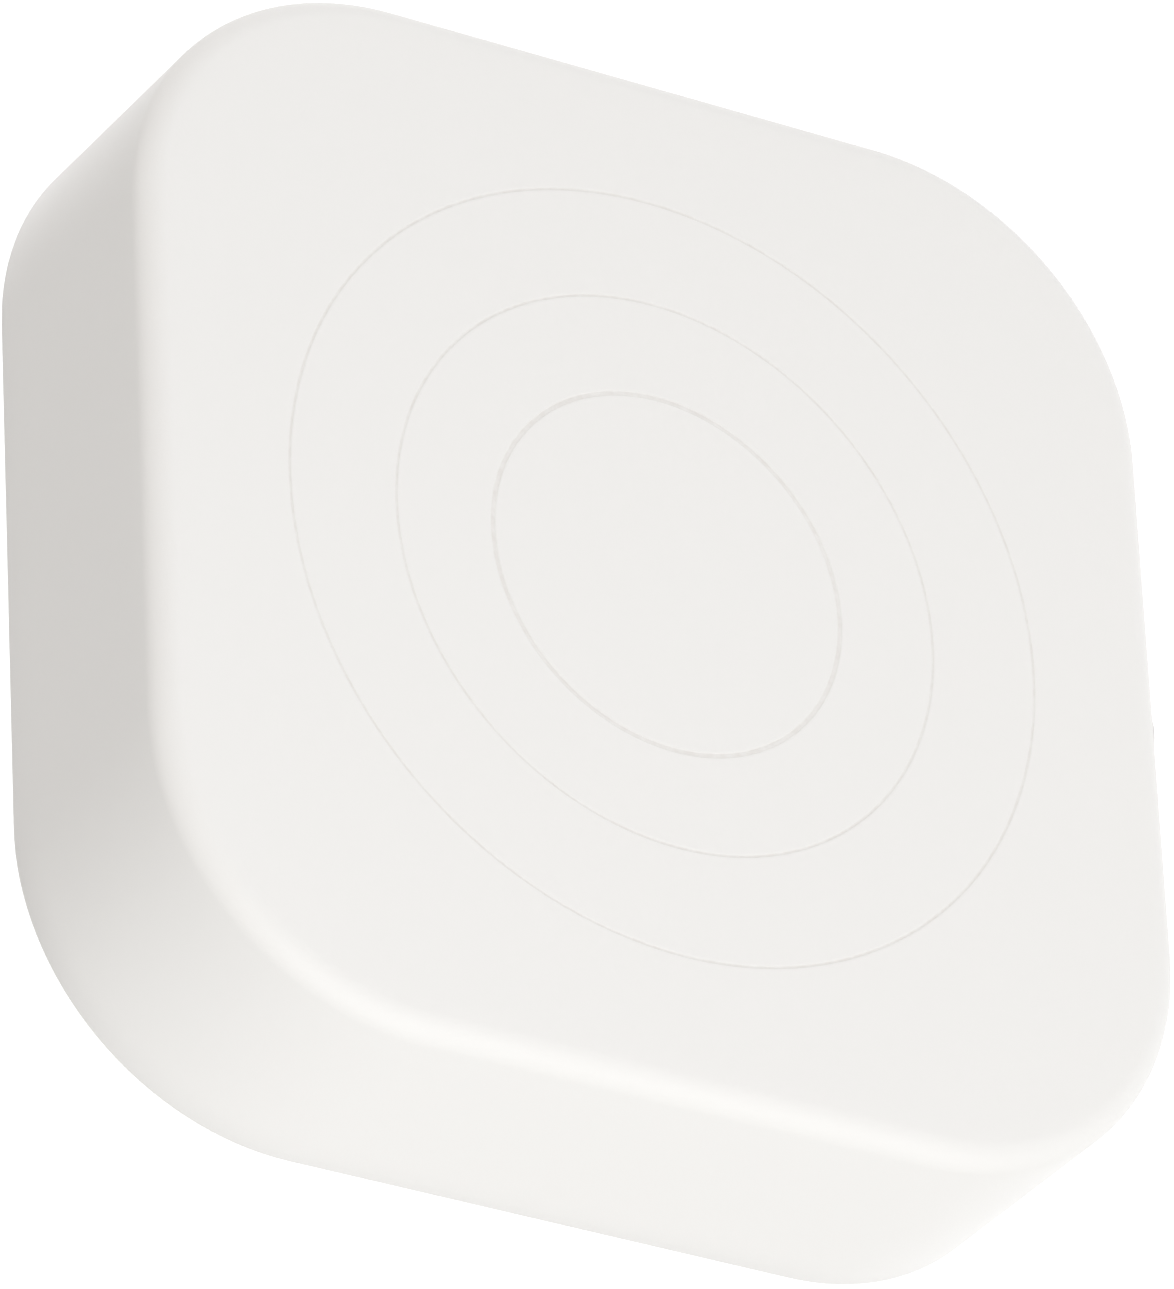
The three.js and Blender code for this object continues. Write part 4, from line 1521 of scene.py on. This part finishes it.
class DOORSENSOR_OT_tact_switch(bpy.types.Operator):
    """Side tact switch: body, steel bracket, stem and its pins"""

    bl_idname = "door_sensor.tact_switch"
    bl_label = "Tact switch"

    def execute(self, context):
        colours = context.scene.door_sensor_inner_colours
        black = moulded_plastic("switch_plastic", colours.black, 0.42, grain=0.008, grain_scale=8.0)
        x, height, z = spans("tact_switch_body")
        stem_x, stem_height, stem_z = spans("tact_switch_stem")
        axis = (middle(stem_height), middle(stem_z))
        stem_radius = half_of(stem_z)
        body = brick("tact_switch_housing", x, height, z, 0.18, 3)
        collar = self.along_x("collar", [(2.0, x[1] - 0.6), (2.1, x[1] - 0.05), (2.0, x[1])], axis)
        bore = self.along_x(
            "bore", [(stem_radius + 0.2, x[1] - 1.2), (stem_radius + 0.2, x[1] + 1)], axis
        )
        seam_x = (x[0] + 1.1, x[0] + 1.2)
        seam = brick("seam", seam_x, drawn_in(height, -1), drawn_in(z, -1), 0)
        core = brick("core", (x[0] + 0.6, x[0] + 1.8), drawn_in(height, 0.1),
                     drawn_in(z, 0.1), 0.05)
        carve(body, "DIFFERENCE", seam)
        carve(body, "UNION", core, collar)
        carve(body, "DIFFERENCE", bore)
        finished(body, black, "base", "black_plastic", "tact_switch_body")
        stem = self.stem(stem_x, stem_radius, axis)
        finished(stem, black, "switch_stem", "black_plastic", "tact_switch_stem")
        self.bracket(colours)
        return {"FINISHED"}

    def along_x(self, name, profile, axis, steps=48):
        metres = [(radius * MM, x * MM) for radius, x in profile]
        return revolved(name, metres, at(0, *axis), (1, 0, 0), steps)

    def stem(self, x, radius, axis):
        profile = [(0.4, x[0]), (radius - 0.1, x[0]), (radius, x[0] + 0.1)]
        profile += fillet((radius, x[1]), (radius, x[1] - 0.25), (radius - 0.25, x[1]), 4)
        profile += [(0.6, x[1]), (0.5, x[1] - 0.12), (0.2, x[1] - 0.15)]
        return self.along_x("tact_switch_plunger", profile, axis)

    def bracket(self, colours):
        x, height, z = spans("tact_switch_bracket")
        half = 0.125
        low, top = height[0], height[1] - half
        line = [
            at(middle(x), low + half + 0.02, z[0] - 0.6), at(middle(x), low + half + 0.02, z[0] + half),
            at(middle(x), top, z[0] + half), at(middle(x), top, z[1] - half),
            at(middle(x), low + half + 0.02, z[1] - half), at(middle(x), low + half + 0.02, z[1] + 0.6),
        ]
        strap = swept("tact_switch_strap", bent(line, 0.32), (1, 0, 0), flat_section(x[1] - x[0], 2 * half))
        windows = [
            brick("window", about(middle(x), 0.6), about(middle(height), 1),
                  about(side, 0.6), 0.15)
            for side in z
        ]
        carve(strap, "DIFFERENCE", *windows)
        spring = plated_metal("bracket_steel", colours.spring, 0.33, (0.5, 0.5, 3.0))
        finished(strap, spring, "base", "spring_steel", "tact_switch_bracket")


class DOORSENSOR_OT_circuit_board(bpy.types.Operator):
    """Board with masked tracks, plated holes, print, small parts and solder joints"""

    bl_idname = "door_sensor.circuit_board"
    bl_label = "Circuit board"

    def execute(self, context):
        case = context.scene.door_sensor_case
        sizes = context.scene.door_sensor_inner_sizes
        colours = context.scene.door_sensor_inner_colours
        height = spans("circuit_board")[1]
        face = height[1]
        self.board(case, colours, height)
        self.copper(sizes, colours, face)
        self.printing(sizes, colours, face)
        self.small_parts(colours, face)
        self.solder(colours, face)
        return {"FINISHED"}

    def board(self, case, colours, height):
        low, high = height
        soft = 0.04
        levels = [(soft, low), (0.0, low + soft), (0.0, high - soft), (soft, high)]
        board = flat_plate("circuit_board_laminate", "circuit_board", case.corner_radius, levels)
        screws, pins = fixing_places()
        holes = [
            peg("hole", [(radius, low - 1), (radius, high + 1)], *place, 32)
            for radius, places in ((1.2, screws), (1.0, pins))
            for place in places
        ]
        carve(board, "DIFFERENCE", *holes)
        mask = solder_mask("board_mask", colours, *height)
        finished(board, mask, "base", "board_green", "circuit_board")

    def routes(self):
        """Tracks between plated holes: fans from three sides of the chip, and lanes."""
        chip_x, _, chip_z = spans("microcontroller")
        routes = []
        for pin in range(8):
            offset = 0.5 * (pin - 3.5)
            spread = 1.7 * offset
            near, far = 0.9 + 0.24 * pin, 0.9 + 0.24 * (7 - pin)
            side = (chip_x[1], middle(chip_z) + offset)
            routes.append(self.stepped(side, (chip_x[1] + 0.5 * far, middle(chip_z) + spread)))
            across = middle(chip_x) + offset
            over, under = chip_z[1] + near, chip_z[0] - far
            routes.append(self.stepped((across, chip_z[1]), (middle(chip_x) + spread, over)))
            routes.append(self.stepped((across, chip_z[0]), (middle(chip_x) + spread, under)))
        for lane in range(3):
            shift = 0.75 * lane
            reed_lane, radio_lane = -22.9 + shift, 14.0 - shift
            slant = radio_lane - 3.2 + shift
            routes.append([
                (reed_lane + 0.1, -6.0 + shift), (reed_lane, slant),
                (reed_lane + 3.2 - shift, radio_lane), (-15.6, radio_lane),
            ])
        for lane in range(4):
            shift = 0.7 * lane
            routes.append([(-0.9, 12.8 + shift), (1.6 + shift, 12.8 + shift), (1.6 + shift, 7.6)])
            routes.append([
                (13.8 + shift, 11.4), (13.8 + shift, 5.4 - shift),
                (12.6 + shift, 4.2 - shift), (12.6 + shift, -2.2),
            ])
        return routes

    def stepped(self, start, end):
        """A line that runs slanting first and then straight to its end."""
        gap_x, gap_z = end[0] - start[0], end[1] - start[1]
        slant = min(abs(gap_x), abs(gap_z))
        elbow = (start[0] + math.copysign(slant, gap_x), start[1] + math.copysign(slant, gap_z))
        straight = abs(end[0] - elbow[0]) + abs(end[1] - elbow[1])
        return [start, elbow, end] if straight > 0.1 and slant > 0.05 else [start, end]

    def copper(self, sizes, colours, face):
        width = sizes.track_width / MM
        rise = sizes.copper_height / MM
        routes = self.routes()
        copper = tracks("board_tracks", routes, width, face - 0.02, face + rise)
        coat = board_coat("masked_copper", colours.masked_copper, 0.26)
        finished(copper, coat, "base", "board_green")
        radius = sizes.via_radius / MM
        top = face + rise + 0.015
        ring = peg(
            "via", [(radius, face), (radius, top), (0.5 * radius, top), (0.5 * radius, face)], 0, 0, 20, True
        )
        vias = repeated("board_vias", ring, shifts([route[-1] for route in routes]))
        gold = plated_metal("gold_pads", colours.gold, 0.30, tarnish=0.15)
        finished(vias, gold, "base", "nickel_lead")

    def printing(self, sizes, colours, face):
        """White corner marks round the larger parts."""
        width = sizes.print_width / MM
        gap = 0.45
        arm = 0.9
        routes = []
        for node in ("microcontroller", "crystal", "capacitor", "radio_board", "tact_switch_body"):
            x, _, z = spans(node)
            for side_x, edge_x in ((-1, x[0] - gap), (1, x[1] + gap)):
                for side_z, edge_z in ((-1, z[0] - gap), (1, z[1] + gap)):
                    routes.append([
                        (edge_x - side_x * arm, edge_z), (edge_x, edge_z), (edge_x, edge_z - side_z * arm)
                    ])
        marks = tracks("board_print", routes, width, face - 0.01, face + 0.02)
        finished(marks, board_coat("print_ink", colours.board_print, 0.6), "base", "board_green")

    def small_parts(self, colours, face):
        """Chip capacitors and resistors, with their tinned ends and solder."""
        capacitors = [
            (12.2, -8.4, 1), (12.2, -12.6, 1), (13.4, -19.0, 0), (20.2, -16.9, 0),
            (9.2, 13.0, 1), (-17.6, 9.2, 1), (-20.2, -14.6, 0), (8.4, 18.6, 0), (20.9, 12.9, 1),
        ]
        resistors = [
            (16.9, 8.3, 1), (18.5, 8.3, 1), (20.1, 8.3, 1), (14.6, -20.4, 0), (11.6, 18.6, 0),
            (-17.0, -13.4, 1), (14.6, 18.2, 1), (12.0, -17.6, 1),
        ]
        ceramic = moulded_plastic("ceramic", colours.ceramic, 0.5, grain=0.004)
        film = moulded_plastic("resistor_film", colours.chip, 0.35, grain=0.003)
        tin = plated_metal("tinned_ends", colours.solder, 0.32)
        for name, places, body_height, material, slot in (
            ("chip_capacitors", capacitors, 0.75, ceramic, "capacitor_tan"),
            ("chip_resistors", resistors, 0.42, film, "chip_black"),
        ):
            moves = [shift(x, z) @ turned(quarters) for x, z, quarters in places]
            body = brick("body", (-0.55, 0.55), (face + 0.01, face + body_height - 0.02), (-0.38, 0.38), 0.05)
            finished(repeated(name, body, moves), material, "base", slot)
            ends = []
            for side in (-1, 1):
                low, high = sorted((side * 0.5, side * 0.82))
                ends.append(brick("end", (low, high), (face, face + body_height), (-0.41, 0.41), 0.07))
                toe = sorted((side * 0.8, side * 1.05))
                ends.append(brick("toe", toe, (face, face + 0.3 * body_height), (-0.4, 0.4), 0.09))
            terminals = repeated(f"{name}_ends", joined("ends", *ends), moves)
            finished(terminals, tin, "base", "shield_tin")

    def solder(self, colours, face):
        """Joints at every lead that goes into the board."""
        reed_x = middle(spans("reed_glass")[0])
        reed_low = spans("reed_lead_fixed")[2][0] + 0.25
        reed_high = spans("reed_lead_moving")[2][1] - 0.25
        antenna_x, _, antenna_z = spans("antenna")
        legs = (antenna_x[0] + 0.4, antenna_x[0] + 3.4)
        round_joints = [(reed_x, reed_low), (reed_x, reed_high)]
        round_joints += [(leg, middle(antenna_z)) for leg in legs]
        cone = self.cone(0.3, 0.85, 0.5, face)
        joints = [repeated("joints", cone, shifts(round_joints))]
        clip_x, _, clip_z = spans("battery_clip")
        strap_x, _, strap_z = spans("tact_switch_bracket")
        contact_x, _, contact_z = spans("battery_contact")
        pads = [
            (clip_x, (clip_z[1] + 0.9, clip_z[1] + 1.8)),
            (strap_x, (strap_z[0] - 1.1, strap_z[0] - 0.3)),
            (strap_x, (strap_z[1] + 0.3, strap_z[1] + 1.1)),
            (contact_x, (contact_z[0] - 0.5, contact_z[0] + 0.5)),
            (contact_x, (contact_z[1] - 0.5, contact_z[1] + 0.5)),
        ]
        for x, z in pads:
            joints.append(brick("pad", drawn_in(x, -0.3), (face - 0.05, face + 0.16), z, 0.14, 4))
        tin = plated_metal("solder", colours.solder, 0.24, tarnish=0.2)
        finished(joined("board_solder", *joints), tin, "base", "shield_tin")

    def cone(self, radius, foot, height, low):
        """A joint that climbs a lead: its top radius, foot radius, height and base height."""
        profile = [(foot, low)]
        for step in range(1, 6):
            share = step / 5
            climb = foot + (radius - foot) * math.sin(share * FULL_TURN / 4)
            profile.append((climb, low + height * share))
        return peg("joint", profile, 0, 0, 20)


class DOORSENSOR_OT_radio(bpy.types.Operator):
    """Radio board with its chip, its shield and the bent antenna"""

    bl_idname = "door_sensor.radio"
    bl_label = "Radio"

    def execute(self, context):
        colours = context.scene.door_sensor_inner_colours
        self.board(colours)
        self.shield(colours)
        self.chip(colours)
        self.antenna(colours)
        return {"FINISHED"}

    def edge_places(self, x, z):
        """Places of the half-round contacts down both sides of the radio board."""
        pitch = 1.27
        return [(edge, middle(z) + pitch * (row - 3.5)) for edge in x for row in range(8)]

    def board(self, colours):
        x, height, z = spans("radio_board")
        board = brick("radio_board_laminate", x, height, z, 0.05)
        places = self.edge_places(x, z)
        cutter = repeated(
            "cutter", peg("hole", [(0.3, height[0] - 1), (0.3, height[1] + 1)], 0, 0, 20), shifts(places)
        )
        carve(board, "DIFFERENCE", cutter)
        mask = solder_mask("radio_mask", colours, *height)
        finished(board, mask, "base", "board_green", "radio_board")
        pads = []
        for edge, row_z in places:
            inward = 1 if edge == x[0] else -1
            reach = sorted((edge + inward * 0.32, edge + inward * 1.0))
            pad_height = (height[1] - 0.02, height[1] + 0.03)
            pads.append(brick("pad", reach, pad_height, about(row_z, 0.35), 0.01))
            fillet_x = sorted((edge + inward * 0.22, edge - inward * 0.5))
            pads.append(brick(
                "joint", fillet_x, (height[0] - 0.02, height[0] + 0.45), about(row_z, 0.24), 0.16, 3
            ))
        gold = plated_metal("radio_pads", colours.solder, 0.3, tarnish=0.15)
        finished(joined("radio_board_pads", *pads), gold, "base", "shield_tin")

    def shield(self, colours):
        x, height, z = spans("radio_shield")
        wall = 0.2
        shield = brick("radio_shield_can", x, height, z, 0.22, 4)
        hollow = brick(
            "hollow", drawn_in(x, wall), (height[0] - 1, height[1] - wall),
            drawn_in(z, wall), 0.1,
        )
        carve(shield, "DIFFERENCE", hollow)
        vents = [
            (middle(x) + 1.5 * column, middle(z) + 2.2 * row)
            for column in (-2, -1, 0, 1, 2)
            for row in (-1, 0, 1)
        ]
        drill = peg("drill", [(0.3, height[1] - 1), (0.3, height[1] + 1)], 0, 0, 20)
        carve(shield, "DIFFERENCE", repeated("drills", drill, shifts(vents)))
        tabs = [
            brick("tab", about(middle(x) + across, 0.4),
                  (height[0] + 0.35, height[0] + 0.75), about(side, 0.05), 0.03)
            for across in (-3, 0, 3) for side in z
        ]
        carve(shield, "DIFFERENCE", *tabs)
        tin = plated_metal("shield_tin", colours.tin, 0.30, (0.4, 1.0, 3.0))
        finished(shield, tin, "base", "shield_tin", "radio_shield")

    def chip(self, colours):
        x, height, z = spans("radio_chip")
        epoxy = moulded_plastic("radio_epoxy", colours.chip, 0.5, grain=0.006, grain_scale=10.0)
        chip = brick("radio_chip_package", x, height, z, 0.06)
        finished(chip, epoxy, "base", "chip_black", "radio_chip")

    def antenna(self, colours):
        x, height, z = spans("antenna")
        low, top = height
        beam = top - 1.4
        left, right = x
        outline = [
            (left, low), (left + 0.8, low), (left + 0.8, beam), (left + 3, beam), (left + 3, low),
            (left + 3.8, low), (left + 3.8, beam), (right, beam), (right, top - 0.5),
            (right - 0.5, top), (left + 0.5, top), (left, top - 0.5),
        ]
        strip = upright("antenna_strip", outline, *z, 0.07)
        lead = plated_metal("antenna_plate", colours.lead, 0.30, (3.0, 0.5, 0.5))
        finished(strip, lead, "base", "nickel_lead", "antenna")


class DOORSENSOR_OT_components(bpy.types.Operator):
    """Microcontroller, regulator, crystal, large capacitor and status lamp"""

    bl_idname = "door_sensor.components"
    bl_label = "Components"

    def execute(self, context):
        colours = context.scene.door_sensor_inner_colours
        epoxy = moulded_plastic("chip_epoxy", colours.chip, 0.5, grain=0.006, grain_scale=10.0)
        tin = plated_metal("component_tin", colours.tin, 0.28, (0.6, 1.0, 2.0))
        self.microcontroller(epoxy, tin)
        self.regulator(epoxy, tin)
        self.crystal(colours, tin)
        self.capacitor(colours, tin)
        self.lamp(colours, tin)
        return {"FINISHED"}

    def lead(self, reach, height, base):
        """A gull-wing lead that leaves a chip along +x, steps down and lies on the board."""
        line = [
            at(0, height, 0), at(0.3 * reach, height, 0),
            at(0.5 * reach, base + 0.08, 0), at(reach, base + 0.08, 0),
        ]
        return swept("lead", bent(line, 0.12, 3), (0, 0, 1), flat_section(0.24, 0.12))

    def microcontroller(self, epoxy, tin):
        x, height, z = spans("microcontroller")
        reach = 0.9
        body = brick(
            "microcontroller_package", drawn_in(x, reach), (height[0] + 0.1, height[1]),
            drawn_in(z, reach), 0.12, 2,
        )
        dot = peg("dot", [(0.3, height[1] - 0.05), (0.3, height[1] + 1)],
                  x[0] + reach + 0.75, z[1] - reach - 0.75, 24)
        carve(body, "DIFFERENCE", dot)
        finished(body, epoxy, "base", "chip_black", "microcontroller")
        half = half_of(x) - reach - 0.05
        moves = [
            shift(middle(x), middle(z)) @ turned(quarter) @ shift(half, 0.5 * (pin - 3.5))
            for quarter in range(4)
            for pin in range(8)
        ]
        lead = self.lead(reach + 0.05, height[0] + 0.45, height[0])
        leads = repeated("microcontroller_leads", lead, moves)
        finished(leads, tin, "base", "shield_tin")

    def regulator(self, epoxy, tin):
        x, height, z = spans("voltage_regulator")
        body = brick("voltage_regulator_package", x, (height[0] + 0.08, height[1]), z, 0.1, 2)
        finished(body, epoxy, "base", "chip_black", "voltage_regulator")
        moves = []
        for side, places in ((1, (-0.95, 0.95)), (-1, (-0.95, 0.0, 0.95))):
            for place in places:
                edge = z[1] if side > 0 else z[0]
                moves.append(shift(middle(x) + place, edge - side * 0.05) @ turned(-side))
        leads = repeated("voltage_regulator_leads", self.lead(0.7, height[0] + 0.5, height[0]), moves)
        finished(leads, tin, "base", "shield_tin")

    def crystal(self, colours, tin):
        x, height, z = spans("crystal")
        base = brick("crystal_base", x, (height[0], height[0] + 0.4), z, 0.06)
        ceramic = moulded_plastic("crystal_ceramic", colours.ceramic, 0.5, grain=0.004)
        finished(base, ceramic, "base", "chip_black")
        inset = 0.18
        lid = brick(
            "crystal_lid", drawn_in(x, inset), (height[0] + 0.3, height[1]),
            drawn_in(z, inset), 0.12, 3,
        )
        finished(lid, tin, "base", "shield_tin", "crystal")

    def capacitor(self, colours, tin):
        x, height, z = spans("capacitor")
        body = brick(
            "capacitor_body", drawn_in(x, 0.12), (height[0] + 0.1, height[1] - 0.02), z, 0.12, 2
        )
        tan = moulded_plastic("capacitor_case", colours.capacitor, 0.42, grain=0.006, grain_scale=9.0)
        finished(body, tan, "base", "capacitor_tan", "capacitor")
        bar = brick("capacitor_bar", (x[0] + 0.3, x[0] + 0.85), (height[1] - 0.06, height[1]),
                    drawn_in(z, 0.13), 0.012)
        finished(bar, board_coat("bar_ink", colours.polarity, 0.45), "base", "capacitor_tan")
        straps = []
        for side, edge in ((-1, x[0]), (1, x[1])):
            line = [
                at(edge - side * 0.9, height[0] + 0.06, middle(z)),
                at(edge - side * 0.06, height[0] + 0.06, middle(z)),
                at(edge - side * 0.06, height[0] + 0.95, middle(z)),
            ]
            straps.append(swept("strap", bent(line, 0.12, 3), (0, 0, 1), flat_section(1.9, 0.12)))
        finished(joined("capacitor_straps", *straps), tin, "base", "shield_tin")

    def lamp(self, colours, tin):
        x, height, z = spans("status_led")
        body = brick("status_led_body", x, (height[0] + 0.03, height[0] + 0.45), z, 0.06)
        white = moulded_plastic("lamp_plastic", colours.lamp_body, 0.35, grain=0.003)
        finished(body, white, "base", "led_white", "status_led")
        lens = brick(
            "status_led_lens", drawn_in(x, 0.25), (height[0] + 0.3, height[1]),
            drawn_in(z, 0.25), 0.18, 4,
        )
        finished(lens, lamp_coat("lamp_phosphor", colours.phosphor), "base", "led_white")
        pads = [
            brick("pad", sorted((edge - side * 0.3, edge + side * 0.25)),
                  (height[0] - 0.02, height[0] + 0.14), drawn_in(z, 0.2), 0.05)
            for side, edge in ((-1, x[0]), (1, x[1]))
        ]
        finished(joined("status_led_pads", *pads), tin, "base", "shield_tin")


# ------------------------------------------------------------------------------ add-on set


GROUPS = {
    "door_sensor_case": CaseSizes,
    "door_sensor_colours": CaseColours,
    "door_sensor_inner_sizes": InnerSizes,
    "door_sensor_inner_colours": InnerColours,
    "door_sensor_studio": StudioSettings,
}

OPERATORS = (
    DOORSENSOR_OT_stage,
    DOORSENSOR_OT_front_cover,
    DOORSENSOR_OT_side_button,
    DOORSENSOR_OT_light_guide,
    DOORSENSOR_OT_adhesive_pad,
    DOORSENSOR_OT_back_plate,
    DOORSENSOR_OT_board_screws,
    DOORSENSOR_OT_battery_holder,
    DOORSENSOR_OT_coin_cell,
    DOORSENSOR_OT_reed_switch,
    DOORSENSOR_OT_tact_switch,
    DOORSENSOR_OT_circuit_board,
    DOORSENSOR_OT_radio,
    DOORSENSOR_OT_components,
)


class DOORSENSOR_PT_panel(bpy.types.Panel):
    """The pieces of the sensor, one button each"""

    bl_idname = "DOORSENSOR_PT_panel"
    bl_label = "Door Contact Sensor"
    bl_space_type = "VIEW_3D"
    bl_region_type = "UI"
    bl_category = "Door Sensor"

    def draw(self, context):
        for operator in OPERATORS:
            self.layout.operator(operator.bl_idname)
        for name, group in GROUPS.items():
            box = self.layout.box()
            box.label(text=group.__doc__)
            for setting in group.__annotations__:
                box.prop(getattr(context.scene, name), setting)


def register():
    for group in GROUPS.values():
        bpy.utils.register_class(group)
    for name, group in GROUPS.items():
        setattr(bpy.types.Scene, name, bpy.props.PointerProperty(type=group))
    for operator in OPERATORS:
        bpy.utils.register_class(operator)
    bpy.utils.register_class(DOORSENSOR_PT_panel)


def unregister():
    bpy.utils.unregister_class(DOORSENSOR_PT_panel)
    for operator in reversed(OPERATORS):
        bpy.utils.unregister_class(operator)
    for name in GROUPS:
        delattr(bpy.types.Scene, name)
    for group in GROUPS.values():
        bpy.utils.unregister_class(group)


def main():
    register()
    for operator in OPERATORS:
        family, action = operator.bl_idname.split(".")
        getattr(getattr(bpy.ops, family), action)()


if __name__ == "__main__":
    main()
